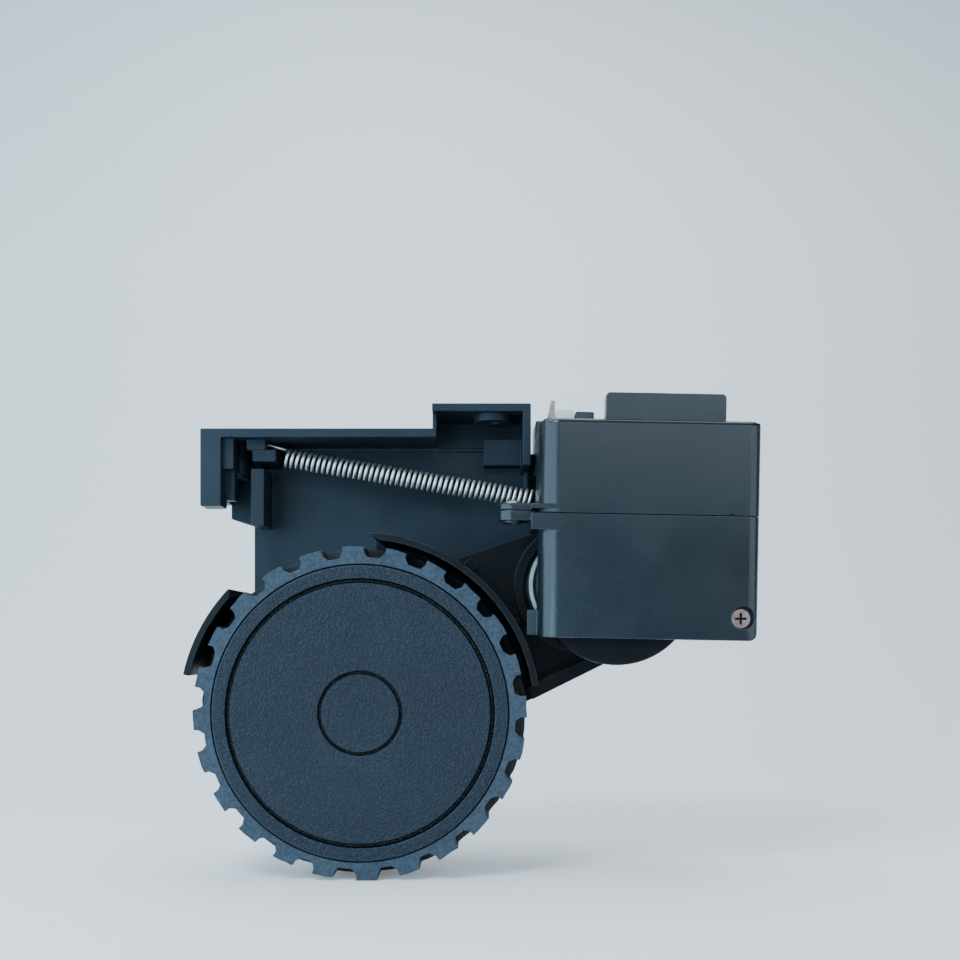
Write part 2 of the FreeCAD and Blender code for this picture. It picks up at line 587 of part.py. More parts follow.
arm_screws = group("arm_screw_set", [
    screw(f"arm_screw_{index}", "1.8", "1.1", "0.95", "7", spot.x, f"{cover_back} - 0.05", spot.y, -1)
    for index, spot in enumerate(post_spots)])
finish(arm_screws, "arm_screws")
pivot_washer = ring("washer_ring", "9", "1.35", "1", "pivot_x", "trunnion_end + 0.05", "pivot_z")
finish(pivot_washer, "pivot_washer")
pivot_screw = screw("pivot_bolt", "3", "1.6", "1.3", "6", "pivot_x", "trunnion_end + 2.65", "pivot_z", -1)
finish(pivot_screw, "pivot_screw")

axle_turning = "axle_radius + running_gap"
front_bush = ring("front_bush", "3.5", axle_turning, "4.2", "wheel_x", "plate_front - 2.3", "wheel_z")
finish(front_bush, "axle_bush_front")
rear_bush = ring("rear_bush", "3.5", axle_turning, "cover_thick", "wheel_x", "cover_front", "wheel_z")
finish(rear_bush, "axle_bush_rear")
for index, spot in enumerate(centres[1:4], start=1):
    finish(rod(f"pin_{index}", "pin_radius", "cover_front - plate_front + 0.9", spot.x, "plate_front + 0.5",
               spot.y), f"gear_pin_{index}")

# Motor beside the pivot: can, end plate, magnets, brushes and bushes stay with the arm

can_long = "plate_front - can_front"
can = cut("can", rod("can_outer", "can_radius", can_long, "0", "can_front", "0"),
          rod("can_inner", "can_radius - can_wall", f"{can_long} - can_wall", "0", "can_front", "0"),
          rod("can_bush_seat", "bush_radius", "4", "0", "plate_front - 3", "0"),
          *[rod(f"can_thread_{index}", "1.0", "4", spot.x - s.motor_x, "plate_front - 3", spot.y - s.motor_z)
            for index, spot in enumerate(screw_spots)])
finish(can, "motor_can", "motor_x", "0", "motor_z")
plate_radius = "can_radius - can_wall - 0.02"
end_plate = rod("end_plate", plate_radius, "2.6", "0", "can_front + 0.2", "0")
end_boss = rod("end_boss", "3.8", "1", "0", "can_front - 0.6", "0")
motor_plate_blank = join("motor_plate_blank", end_plate, end_boss)
motor_plate = cut("motor_plate_solid", motor_plate_blank,
                  rod("end_bush_seat", "bush_radius", "1.2", "0", "can_front - 0.7", "0"),
                  rod("end_hollow", "commutator_radius + 0.6", "3", "0", "can_front + 0.5", "0"),
                  block("brush_slot", "-8", "8", "can_front + 0.8", "can_front + 3", "-1.55", "1.55"))
finish(motor_plate, "motor_plate", "motor_x", "0", "motor_z")
shaft_turning = "shaft_radius + running_gap"
finish(ring("plate_bush", "bush_radius", shaft_turning, "1", "motor_x", "can_front - 0.6", "motor_z"),
       "motor_bush_front")
finish(ring("can_bush", "bush_radius", shaft_turning, "3.0", "motor_x", "plate_front - can_wall", "motor_z"),
       "motor_bush_rear")
magnet_outer = s.can_radius - s.can_wall - s.fixed_gap
magnet_inner = s.core_radius + s.magnet_gap
for name, start in (("magnet_upper", 20.0), ("magnet_lower", 200.0)):
    arc = prism(name + "_arc", band(0, 0, magnet_outer, magnet_inner, start, start + 140.0),
                "can_front + 3.2", "8.6")
    finish(arc, name, "motor_x", "0", "motor_z")
for name, side in (("brush_left", -1), ("brush_right", 1)):
    near, far = sorted((side * (s.commutator_radius + 0.08), side * 7.6))
    brush = block(name + "_block", near, far, "can_front + 0.85", "can_front + 2.6", "-1.5", "1.5")
    finish(brush, name, "motor_x", "0", "motor_z")
terminals = group("terminal_pair", [
    block(f"terminal_{index}", f"{across} - 1.1", f"{across} + 1.1", "can_front - 1.6", "can_front + 0.2",
          "7.6", "8.0")
    for index, across in enumerate((-4.2, 4.2))])
finish(terminals, "motor_terminals", "motor_x", "0", "motor_z")

drum = revolved("drum_body", [
    (0, s.stub_front, 0), (s.stub_radius, s.stub_front, 0.4), (s.stub_radius, s.drum_front, 0),
    (s.drum_radius, s.drum_front, 0.6), (s.drum_radius, s.can_front, 0),
    (s.drum_radius - s.drum_wall, s.can_front, 0),
    (s.drum_radius - s.drum_wall, s.drum_front + s.drum_wall, 0), (0, s.drum_front + s.drum_wall, 0)])
drum_bosses = []
drum_holes = []
for index, spot in enumerate(drum_spots):
    across, up = spot.x - s.pivot_x, spot.y - s.pivot_z
    drum_bosses.append(rod(f"drum_boss_{index}", "drum_post", "can_front - drum_front - 0.5", across,
                           "drum_front + 0.5", up))
    drum_holes.append(rod(f"drum_hole_{index}", "1.1", "6", across, "drum_front", up))
    drum_holes.append(rod(f"drum_sink_{index}", "1.75", "1", across, "drum_front - 0.1", up))
drum_cap = cut("drum_cap_solid", join("drum_cap_blank", drum, *drum_bosses), *drum_holes)
finish(drum_cap, "drum_cap", "pivot_x", "0", "pivot_z")
drum_screws = group("drum_screw_set", [
    screw(f"drum_screw_{index}", "1.65", "0.9", "0.85", "10", spot.x, "drum_front", spot.y)
    for index, spot in enumerate(drum_spots)])
finish(drum_screws, "drum_screws")
board = cut("encoder_board_solid", rod("encoder_disc", "encoder_radius", "0.8", "0", "can_front - 0.9", "0"),
            rod("encoder_bore", "4.2", "0.8", "0", "can_front - 0.9", "0"),
            block("encoder_relief", "-8", "8", "can_front - 1", "can_front", "6.4", "12"))
finish(board, "encoder_board", "motor_x", "0", "motor_z")
motor_screws = group("motor_screw_set", [
    screw(f"motor_screw_{index}", "1.9", "1", "1.0", "3", spot.x, f"{plate_back} + 1", spot.y, -1)
    for index, spot in enumerate(screw_spots)])
finish(motor_screws, "motor_screws")

# Rotor: shaft, laminated core with five poles, windings, commutator and encoder magnet

finish(rod("rotor_shaft", "shaft_radius", "level_a + face_a - can_front + 2.4", "motor_x", "can_front - 2.4",
           "motor_z"), "motor_shaft")
core_front, core_long = "can_front + 4.6", "6"
slot_outer, slot_inner = s.core_radius - 0.9, 3.2
coil_outer, coil_inner = slot_outer - 0.5, slot_inner + 0.3
slots = []
end_turns = [ring("turns_front", coil_outer, "2.8", "1.2", "0", "can_front + 3.4", "0"),
             ring("turns_back", coil_outer, "2.8", "1.2", "0", "can_front + 10.6", "0")]
for index in range(5):
    angle = 36.0 + 72.0 * index
    slots.append(prism(f"core_slot_{index}", band(0, 0, slot_outer, slot_inner, angle - 26.0, angle + 26.0,
                                                  angle - 14.0, angle + 14.0), core_front, core_long))
    mouth = at_angle(0, 0, s.core_radius - 0.4, angle)
    slots.append(rod(f"core_mouth_{index}", "0.7", core_long, mouth.x, core_front, mouth.y))
    coil = band(0, 0, coil_outer, coil_inner, angle - 22.0, angle + 22.0, angle - 10.0, angle + 10.0)
    end_turns.append(prism(f"slot_coil_{index}", coil, "can_front + 4.5", "6.2"))
core_ring = ring("core_ring", "core_radius", "shaft_radius", core_long, "0", core_front, "0")
finish(cut("core_solid", core_ring, *slots), "armature_core", "motor_x", "0", "motor_z")
finish(join("winding_solid", *end_turns), "armature_winding", "motor_x", "0", "motor_z")
copper_ring = ring("copper_ring", "commutator_radius", "shaft_radius", "2.4", "motor_x", "can_front + 0.7",
                   "motor_z")
finish(copper_ring, "commutator")
magnet_ring = ring("magnet_ring", "3", "shaft_radius", "1", "motor_x", "can_front - 2.2", "motor_z")
finish(magnet_ring, "encoder_magnet")

# Two-piece box: its walls, cut back where the drum and the arm swing

cavity_left, cavity_right = s.shell_left + s.shell_wall, s.shell_right - s.shell_wall
outer_plan = rounded([(s.shell_left, 0, s.left_round), (s.shell_right, 0, s.right_round),
                      (s.shell_right, s.shell_back, 0), (s.shell_left, s.shell_back, 0)])
inner_plan = rounded([(cavity_left, s.shell_wall, 2.2), (cavity_right, s.shell_wall, 1.0),
                      (cavity_right, s.shell_back + 1, 0), (cavity_left, s.shell_back + 1, 0)])
upper_low = "shell_split + split_gap / 2"
lower_top = "shell_split - split_gap / 2"


def ear_outline(root):
    """The ear's round-ended outline in X and Y, up to where it meets the box at root."""
    tip, near, far = s.ear_x - s.ear_radius, s.ear_y - s.ear_radius, s.ear_y + s.ear_radius
    turn = s.ear_radius - 0.05
    return rounded([(tip, near, turn), (root, near, 0), (root, far, 0), (tip, far, turn)])


rear_posts = [(19.6, 41.0), (55.6, 40.6)]

upper = new_body("upper_body")
outline = body_sketch(upper, "upper_outline", "XY_Plane", outer_plan, upper_low)
feature(upper, "Pad", "upper_pad", outline, Length="shell_top - shell_split - split_gap / 2")
hollow = body_sketch(upper, "upper_hollow", "XY_Plane", inner_plan, "shell_top - shell_wall")
feature(upper, "Pocket", "upper_pocket", hollow, Length="shell_top - shell_wall - shell_split")
upper_face = rounded([(s.shell_left, s.shell_split - 1, 0), (s.shell_right, s.shell_split - 1, 0),
                      (s.shell_right, s.shell_top, s.top_round), (s.shell_left, s.shell_top, s.top_round)])
raised_foot = s.shell_top - s.shell_wall
raised_face = rounded([(s.raised_left, raised_foot, 0), (s.raised_right, raised_foot, 0),
                       (s.raised_right, s.raised_top, s.raised_round),
                       (s.raised_left, s.raised_top, s.raised_round)])
upper_parts = [within("upper_walls", upper, prism("upper_face", upper_face, "-1", "shell_back + 2")),
               prism("raised_plate", raised_face, "raised_front", "raised_back - raised_front"),
               block("rear_corner", "shell_left", "shell_left + 2.4", "22", "shell_back", "44", "48.7"),
               block("upper_band", "shell_left - 1.7", "shell_left + left_round", "0", "6",
                     "ear_split + split_gap / 2", "band_top"),
               prism_up("upper_ear", ear_outline(s.shell_left + 1), "ear_split + split_gap / 2",
                        "ear_high - ear_split - split_gap / 2")]
upper_cuts = [block("socket_window", "shell_left + shell_wall", "27", "7.5", "14.5", "shell_top - 3",
                    "shell_top + 1"),
              block("arm_window", "shell_left - 1", "shell_left + shell_wall + 0.1", "17.5", "shell_back",
                    "shell_split - 1", "36.4"),
              block("split_notch", "53.4", "54.8", "-1", "0.7", "shell_split", "shell_split + 0.5"),
              rod("ear_bore_upper", "1.35", "4", "ear_x", "ear_y", "ear_split - 1", "Z")]
for index, (x, z) in enumerate(rear_posts):
    upper_parts.append(rod(f"rear_post_{index}", "post_radius", "shell_back - 26", x, "26", z))
    upper_parts.append(block(f"post_web_{index}", x - 0.8, x + 0.8, "26", "shell_back", z, "shell_top - 1"))
    upper_cuts.append(rod(f"rear_post_bore_{index}", "1.1 + press_gap", "10", x, "shell_back - 10", z))
housing_upper = cut("upper_solid", join("upper_blank", *upper_parts), *upper_cuts)
finish_tilted(housing_upper, "housing_upper")

lower = new_body("lower_body")
outline = body_sketch(lower, "lower_outline", "XY_Plane", outer_plan, "shell_bottom")
feature(lower, "Pad", "lower_pad", outline, Length="shell_split - split_gap / 2 - shell_bottom")
hollow = body_sketch(lower, "lower_hollow", "XY_Plane", inner_plan, "shell_split")
feature(lower, "Pocket", "lower_pocket", hollow, Length="shell_split - shell_bottom - shell_wall")
lower_face = rounded([(s.shell_left, s.shell_bottom, s.top_round),
                      (s.shell_right, s.shell_bottom, s.bottom_round),
                      (s.shell_right, s.shell_split + 1, 0), (s.shell_left, s.shell_split + 1, 0)])
lower_parts = [
    cut("lower_walls", within("lower_shell", lower, prism("lower_face", lower_face, "-1", "shell_back + 2")),
        rod("drum_clearance", "swing_radius", "40", "pivot_x", "4.35", "pivot_z"),
        block("arm_clearance", "shell_left - 1", "28", "4.35", "shell_back + 1", "shell_bottom - 1",
              "shell_split + 1")),
    rod("stub_socket", "6.5", "2.3", "pivot_x", "shell_wall", "pivot_z"),
    prism_up("lower_ear", ear_outline(s.shell_left - 0.1), "ear_low", "ear_split - split_gap / 2 - ear_low"),
    rod("ear_boss", "2.1", "0.6", "ear_x", "ear_y", "ear_low - 0.5", "Z"),
    block("ear_band", "shell_left - 1.7", "shell_left + left_round", "0", "4.3", "22.1", lower_top),
    block("ear_band_side", "shell_left - 1.7", "shell_left + 2", "4", "11", "22.1", lower_top),
    block("corner_lug", "shell_left - 2.1", "shell_left + 1.6", "3.3", "4.3", "shell_bottom + 0.4", "5.4"),
    rod("corner_pad", "3.2", "1.3", "corner_x", "1", "corner_z"),
]
corner = tilted(s.corner_x, s.corner_z)
lower_cuts = [rod("stub_bore", "stub_radius + running_gap", "5", "pivot_x", "shell_wall + 0.2", "pivot_z"),
              rod("corner_sink", "2.42", "head_deep + 1.05", "corner_x + 0.35", "-0.1", "corner_z + 0.2"),
              rod("corner_hole", "1.3", "4", "corner_x", "0", "corner_z"),
              rod("corner_relief", "corner_radius + 0.12", "shell_back", "corner_x", "corner_front - 0.1",
                  "corner_z"),
              rod("ear_bore_lower", "1.1", "6", "ear_x", "ear_y", "ear_low - 1", "Z")]
housing_lower = cut("lower_solid", join("lower_blank", *lower_parts), *lower_cuts)
finish_tilted(housing_lower, "housing_lower")

ear_head = doc.addObject("Part::Sphere", "ear_head")
bind(ear_head, Radius="2.9", Placement__Base__x="ear_x", Placement__Base__y="ear_y",
     Placement__Base__z="ear_high - 2")
dome_trim = block("ear_dome_trim", "ear_x - 4", "ear_x + 4", "ear_y - 4", "ear_y + 4", "ear_high - 6",
                  "ear_high")
ear_dome = cut("ear_dome", ear_head, dome_trim)
ear_slots = [block(name, f"ear_x - {across}", f"ear_x + {across}", f"ear_y - {deep}", f"ear_y + {deep}",
                   "ear_high + 0.4", "ear_high + 2")
             for name, across, deep in (("ear_slot_x", 1.2, 0.25), ("ear_slot_y", 0.25, 1.2))]
ear_screw = cut("ear_screw_solid", join("ear_screw_blank", ear_dome,
                                        rod("ear_shank", "1.1", "ear_high - ear_low + 0.2", "ear_x", "ear_y",
                                            "ear_low - 0.2", "Z")), *ear_slots)
finish_tilted(ear_screw, "ear_screw")
finish(screw("corner_bolt", "1.98", "0.9", "1.15", "10", corner[0], "head_deep", corner[1]), "corner_screw")
housing_screws = group("housing_screw_set", [
    screw(f"housing_screw_{index}", "2.4", "1.5", "1.1", "9", tilted(x, z)[0],
          "shell_back + back_thick + 1.5", tilted(x, z)[1], -1) for index, (x, z) in enumerate(rear_posts)])
finish(housing_screws, "housing_screws")

# Board under the box's top, with the socket, the dark block and the tinned tab that stand out of it

board_top = "board_low + board_thick"
finish_tilted(block("board_solid", "16.4", "46", "6.5", "18", "board_low", board_top), "switch_board")
board_face = s.board_low + s.board_thick
socket_edges = rounded([(17.65, board_face, 0), (21.55, board_face, 0), (21.55, 48.7, 0.8),
                        (17.65, 48.7, 0.3)])
socket = cut("socket_solid", prism("socket_block", socket_edges, "8.2", "5.6"),
             block("socket_mouth", "18.4", "20.8", "8.9", "13.1", "43.5", "50"))
finish_tilted(socket, "connector_socket")
pins = group("pin_row", [
    block(f"contact_{index}", "19.35", "19.85", f"{y} - 0.25", f"{y} + 0.25", "43.5", "47.6")
    for index, y in enumerate((10.1, 11.9))])
finish_tilted(pins, "connector_pins")
finish_tilted(block("dark_block", "21.75", "25.8", "8.2", "13.8", board_top, "48.4"), "cable_block")
tab_flange = block("tab_flange", "15.1", "17.55", "8.4", "12.6", "shell_top + 0.03", "shell_top + 0.85")
tab_foot = block("tab_foot", "16.45", "17.5", "8.6", "12.4", board_top, "shell_top + 0.5")
finish_tilted(join("tab_block", tab_flange, tab_foot), "tab_base")
tab_low = s.shell_top + 0.85
tab_edges = rounded([(15.7, tab_low, 0), (17.5, tab_low, 0), (17.45, 51.0, 0.25), (16.6, 51.0, 0.25)])
finish_tilted(prism("tab_sheet", tab_edges, "10.2", "0.6"), "contact_tab")

# Wheel-drop switch on two pegs of the bracket, with its button and its lever on a hinge pin

peg_spots = [(s.switch_left + 3.1, s.switch_low + 4.6), (s.switch_left + 9.7, s.switch_low + 4.6)]
lever_front, lever_back = "switch_front + 1.2", "switch_front + switch_deep - 1.2"
lugs = [block(name, "lever_x - 0.6", "lever_x + 0.6", front, back, "lever_z - 0.5", "switch_low + 0.5")
        for name, front, back in (("hinge_lug_front", "switch_front + 0.5", f"{lever_front} - running_gap"),
                                  ("hinge_lug_back", f"{lever_back} + running_gap",
                                   "switch_front + switch_deep - 0.5"))]
hinge_pin = rod("hinge_pin", "hinge_radius", "switch_deep - 1", "lever_x", "switch_front + 0.5", "lever_z")
switch_block = block("switch_block", "switch_left", "switch_left + switch_long", "switch_front",
                     "switch_front + switch_deep", "switch_low", "switch_low + switch_tall")
button_x, button_y = "lever_x + 3.2", "switch_front + switch_deep / 2"
switch_case = cut("switch_solid", join("switch_blank", switch_block, *lugs, hinge_pin),
                  rod("button_guide", "0.85", "3", button_x, button_y, "switch_low - 0.5", "Z"),
                  *[rod(f"peg_hole_{index}", "1.15", "8", x, "switch_front - 1", z)
                    for index, (x, z) in enumerate(peg_spots)])
finish(switch_case, "switch_case")
finish(rod("button_pin", "0.8", "2.2", button_x, button_y, "lever_z + 0.38", "Z"), "switch_button")
lever_deep = "switch_deep - 2.4"
lever_roll = rod("lever_roll", "hinge_radius + 0.3", lever_deep, "lever_x", lever_front, "lever_z")
lever_strip = block("lever_strip", "lever_x", "lever_x + 10.6", lever_front, lever_back, "lever_z",
                    "lever_z + 0.3")
lever_bore = rod("lever_bore", "hinge_radius + running_gap", lever_deep, "lever_x", lever_front, "lever_z")
finish(cut("lever_solid", join("lever_blank", lever_roll, lever_strip), lever_bore), "switch_lever")

# Bracket: tray, spring post, screw bosses, pivot seat, switch pegs and the long corner post

back_outline = rounded([
    (s.tray_left, s.tray_top, 1.0), (s.tray_left, 31.6, 0), (-57.3, 31.6, 0), (-57.3, 28.2, 0),
    (s.plate_left - 1.8, 27.0, 0), (s.plate_left, 26.4, 0), (s.plate_left, s.plate_low, 3.0),
    (4.0, s.plate_low, 3.0), (24.0, -0.6, 2.0),
    (59.3, -0.6, 2.0), (59.3, 43.8, 2.0), (s.step_right, 43.8, 0), (s.step_right, s.hole_z, 0.6),
    (s.step_left, s.hole_z, 0.6), (s.step_left, s.tray_top, 0)])
wall_end = "tray_back + back_thick"
under_top, riser_right = "tray_top - tray_wall", "step_left + riser_wall"
bracket_solids = [
    prism("back_plate", back_outline, "tray_back", "back_thick"),
    block("top_wall", "tray_left + 0.5", riser_right, "tray_front", wall_end, under_top, "tray_top"),
    block("step_riser", "step_left", riser_right, "tray_front + 4", wall_end, under_top, "hole_z"),
    block("step_top", "step_left", "step_right", "tray_front", wall_end, "hole_z - step_wall", "hole_z"),
    block("right_wall", "step_right - step_wall", "step_right", "tray_front", wall_end, "38.7", "hole_z"),
    block("right_strip", "step_right - 1.1", "step_right", "31.4", wall_end, "31", "40"),
    block("left_end", "tray_left", "tray_left + 4.7", "tray_front", "27", "tray_low", "tray_top"),
    block("left_wall", "tray_left + 1.6", "tray_left + 4", "26", wall_end, "31.6", "tray_top - 0.5"),
    block("left_rib", "tray_left + 4.5", "tray_left + 7.2", "22", "29", "38.1", "tray_top - 0.5"),
    block("left_foot", "tray_left + 4.5", "tray_left + 6.9", "24.8", "28.3", "31.3", "38.3"),
    block("inner_wall", "plate_left + 1.3", "plate_left + 4.4", f"{plate_back} + 0.5", wall_end, "25.6",
          "38.6"),
    block("spring_post", "-50", "-44.6", "24.2", wall_end, "40.1", "42.9"),
    block("spring_ledge", "-51.2", "-46.9", "23.5", wall_end, "42.7", "46"),
    rod("left_boss", "3.0", "9.4", "left_hole_x", "left_hole_y", "36.8", "Z"),
    rod("middle_boss", "4.3", "boss_deep", "hole_x", "hole_y", "hole_z - boss_deep", "Z"),
    block("corner_block", "3", "step_right - 0.5", "32", wall_end, "40.3", "46.5"),
    block("ledge", "step_left", "step_right - 0.5", "36.2", wall_end, "44.1", "45"),
    rod("pivot_seat", "seat_radius", "seat_end - tray_back", "pivot_x", "tray_back", "pivot_z"),
    rod("corner_post", "corner_radius", "tray_back - corner_front", corner[0], "corner_front", corner[1]),
    block("rear_ear", "rear_ear_x - 5", "rear_ear_x + 5", "tray_back + 1", "rear_ear_y + 4.5", "1", "4"),
    block("rear_rib_low", "plate_left + 3", "18", wall_end, f"{wall_end} + 2", "4", "5.6"),
    block("rear_rib_high", "plate_left + 3", "56", wall_end, f"{wall_end} + 2", "30", "31.6"),
    block("rear_rib_left", "-30", "-28.4", wall_end, f"{wall_end} + 2", "-6", "45"),
    block("rear_rib_middle", "0", "1.6", wall_end, f"{wall_end} + 2", "-6", "50"),
    block("rear_gusset", "46", "48.2", wall_end, f"{wall_end} + 3", "1.5", "8"),
]
bracket_cuts = [
    rod("pivot_bore", "trunnion_radius + running_gap", "6", "pivot_x", "tray_back - 1", "pivot_z"),
    rod("middle_hole", "screw_hole", "10", "hole_x", "hole_y", "hole_z - 8", "Z"),
    rod("left_hole", "screw_hole", "12", "left_hole_x", "left_hole_y", "36", "Z"),
    rod("rear_hole", "screw_hole", "6", "rear_ear_x", "rear_ear_y", "0", "Z"),
    rod("corner_bore", "1.15", "12", corner[0], "2", corner[1]),
    cut("hook_slot", block("hook_slot_block", "-50.6", "-44.2", "spring_y - 0.8", "spring_y + 0.8", "42.2",
                           "45.3"),
        rod("hook_pin_keep", "hook_pin", "4", "hook_x", "spring_y - 2", "hook_z")),
]
for index, (x, z) in enumerate(peg_spots):
    bracket_solids.append(rod(f"switch_peg_{index}", "1.1", "tray_back - switch_front", x, "switch_front", z))
for index, (x, z) in enumerate(rear_posts):
    spot = tilted(x, z)
    bracket_cuts.append(rod(f"housing_hole_{index}", "1.35", "4", spot[0], "tray_back - 1", spot[1]))
bracket = cut("bracket_solid", join("bracket_blank", *bracket_solids), *bracket_cuts)
finish(bracket, "bracket")

# Tension spring: a close coil with a hook at each end, round the bracket's pin and the arm's post


def mitred_wire(route, radius, sides):
    """A wire bent from short straight runs along a route, its flat sides mitred at each bend."""
    runs = [(after - before).normalize() for before, after in zip(route, route[1:])]
    across = runs[0].cross(Vector(0.3, 1.0, 0.2)).normalize()
    over = runs[0].cross(across)
    turns_round = [2 * math.pi * side / sides for side in range(sides)]
    rings = [[route[0] + (across * math.cos(turn) + over * math.sin(turn)) * radius for turn in turns_round]]
    for index, run in enumerate(runs):
        following = runs[index + 1] if index + 1 < len(runs) else run
        mitre = (run + following).normalize()
        spot = route[index + 1]
        rings.append([corner + run * ((spot - corner).dot(mitre) / run.dot(mitre)) for corner in rings[-1]])
    faces = [Part.Face(Part.makePolygon(end + [end[0]])) for end in (rings[0], rings[-1])]
    for before, after in zip(rings, rings[1:]):
        for side in range(sides):
            beside = (side + 1) % sides
            faces.append(Part.Face(Part.makePolygon(
                [before[side], before[beside], after[beside], after[side], before[side]])))
    return Part.Solid(Part.Shell(faces))


def hook(tip, centre, radius, way):
    """Points of a loop round a pin, from the coil's end; way is +1 when it turns anticlockwise."""
    away = tip - centre
    first = math.atan2(away.z, away.x) + way * math.acos(radius / away.Length)
    turns_round = [first + way * math.radians(angle) for angle in range(0, 241, 30)]
    return [centre + Vector(math.cos(turn), 0, math.sin(turn)) * radius for turn in turns_round]


coil_start = Vector(s.coil_start_x, s.spring_y, s.coil_start_z)
coil_line = Vector(s.coil_end_x, s.spring_y, s.coil_end_z) - coil_start
coil_up = Vector(0, 1, 0).cross(coil_line).normalize()
coil_up = coil_up if coil_up.z > 0 else coil_up * -1
coil_side = Vector(0, 1, 0)
runs_round = int(s.coil_runs)
coil_route = []
for step in range(int(s.coil_turns) * runs_round + 1):
    turn = 2 * math.pi * step / runs_round
    spot = coil_start + coil_line * (step / (s.coil_turns * runs_round))
    coil_route.append(spot + (coil_up * math.cos(turn) + coil_side * math.sin(turn)) * s.coil_radius)
hook_gap = s.wire_radius + 0.12
left_hook = hook(coil_route[0], Vector(s.hook_x, s.spring_y, s.hook_z), s.hook_pin + hook_gap, 1)
right_hook = hook(coil_route[-1], Vector(s.lug_x, s.spring_y, s.lug_z), s.lug_radius + hook_gap, -1)
spring = doc.addObject("Part::Feature", "spring_coil")
spring.Shape = mitred_wire([*reversed(left_hook), *coil_route, *right_hook], s.wire_radius, 6)
finish(spring, "spring")

# Build, test and write every sub-part

doc.recompute()
for item in doc.Objects:
    if "Invalid" in item.State or "Error" in item.State:
        raise RuntimeError(f"{item.Name} failed: {item.State}")
os.makedirs("parts", exist_ok=True)
for item in nodes:
    if item.Shape.isNull() or not item.Shape.isValid():
        raise RuntimeError(f"{item.Label} has no valid shape")
    item.Shape.exportStep(f"parts/{item.Label}.step")
    room = item.Shape.BoundBox
    print(f"{item.Label:18s} solids {len(item.Shape.Solids)}  volume {item.Shape.Volume:9.1f}"
          f"  x {room.XMin + s.hole_x:6.1f} {room.XMax + s.hole_x:6.1f}"
          f"  y {room.YMin + s.hole_y:6.1f} {room.YMax + s.hole_y:6.1f}"
          f"  z {room.ZMin + s.hole_z:6.1f} {room.ZMax + s.hole_z:6.1f}")
print("nodes", len(nodes))
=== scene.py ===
import math
import bmesh
import bpy
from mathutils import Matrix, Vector, geometry, noise
from mathutils.bvhtree import BVHTree


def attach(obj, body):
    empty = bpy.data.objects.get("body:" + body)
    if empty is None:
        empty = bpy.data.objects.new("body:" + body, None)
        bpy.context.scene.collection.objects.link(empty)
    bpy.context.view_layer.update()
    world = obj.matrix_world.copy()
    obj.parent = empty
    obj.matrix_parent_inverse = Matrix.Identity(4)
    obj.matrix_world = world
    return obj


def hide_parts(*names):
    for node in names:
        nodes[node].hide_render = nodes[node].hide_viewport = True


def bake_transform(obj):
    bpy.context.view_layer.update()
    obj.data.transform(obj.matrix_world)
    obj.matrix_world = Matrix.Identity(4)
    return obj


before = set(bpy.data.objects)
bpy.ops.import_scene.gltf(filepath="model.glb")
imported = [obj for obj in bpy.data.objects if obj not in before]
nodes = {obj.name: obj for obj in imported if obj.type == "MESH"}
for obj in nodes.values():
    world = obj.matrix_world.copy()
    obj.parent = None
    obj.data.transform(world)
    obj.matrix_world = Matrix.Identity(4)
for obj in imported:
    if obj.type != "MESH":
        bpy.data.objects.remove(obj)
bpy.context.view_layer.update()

# Robot vacuum wheel module, seen from the wheel's outer face. Lengths in the dictionaries are in
# millimetres, from the middle of the picture's horizon at the wheel's face, and spot() turns them
# into the frame's metres.

module = {"hole": (5.0, 26.5, 52.65), "wheel": (-23.2, -15.9)}  # the frame's origin, the wheel's axis
print("frame loaded,", len(nodes), "nodes")


def spot(x, y, z):
    return (Vector((x, y, z)) - Vector(module["hole"])) / 1000


# Mesh helpers

def newPiece(name, corners, faces):
    mesh = bpy.data.meshes.new(name)
    mesh.from_pydata([tuple(corner) for corner in corners], [], faces)
    piece = bpy.data.objects.new(name, mesh)
    bpy.context.scene.collection.objects.link(piece)
    return piece


def smoothShade(piece, sharpAngle=32.0):
    piece.data.polygons.foreach_set("use_smooth", [True] * len(piece.data.polygons))
    piece.data.set_sharp_from_angle(angle=math.radians(sharpAngle))
    steady = piece.modifiers.new("steadyNormals", "WEIGHTED_NORMAL")
    steady.keep_sharp = True
    return piece


def refill(work, excess=1.0005):
    # a flat face whose outline touches itself is filled again with triangles: its first filling
    # covers more than the face's own area
    covered = {}
    for loops in work.calc_loop_triangles():
        first, second, third = (loop.vert.co for loop in loops)
        area = (second - first).cross(third - first).length / 2
        covered[loops[0].face] = covered.get(loops[0].face, 0.0) + area
    for face, area in covered.items():
        if len(face.verts) < 5 or area < face.calc_area() * excess:
            continue
        upright = face.normal.to_track_quat("Z", "Y")
        flat = [upright.inverted() @ corner.co for corner in face.verts]
        level = flat[0].z
        points, _, triangles, sources, _, _ = geometry.delaunay_2d_cdt(
            [point.to_2d() for point in flat], [], [list(range(len(flat)))], 1, 1e-7)
        corners = list(face.verts)
        work.faces.remove(face)
        ends = [corners[source[0]] if source else work.verts.new(upright @ Vector((*point, level)))
                for point, source in zip(points, sources)]
        for triangle in triangles:
            trio = [ends[index] for index in triangle]
            if not work.faces.get(trio):
                work.faces.new(trio)


rounding = {"weld": 2e-6, "flat": 0.4, "sharp": 28.0, "steps": 2, "wideSteps": 5,
            "far": 0.5, "proud": 1e-5}  # metres, degrees, and far as a share of the widest rounding


def roundEdges(work, edges, width, segments):
    bmesh.ops.bevel(work, geom=edges, offset=width / 1000, offset_type="OFFSET", segments=segments,
                    profile=0.5, clamp_overlap=False, affect="EDGES", miter_outer="ARC")


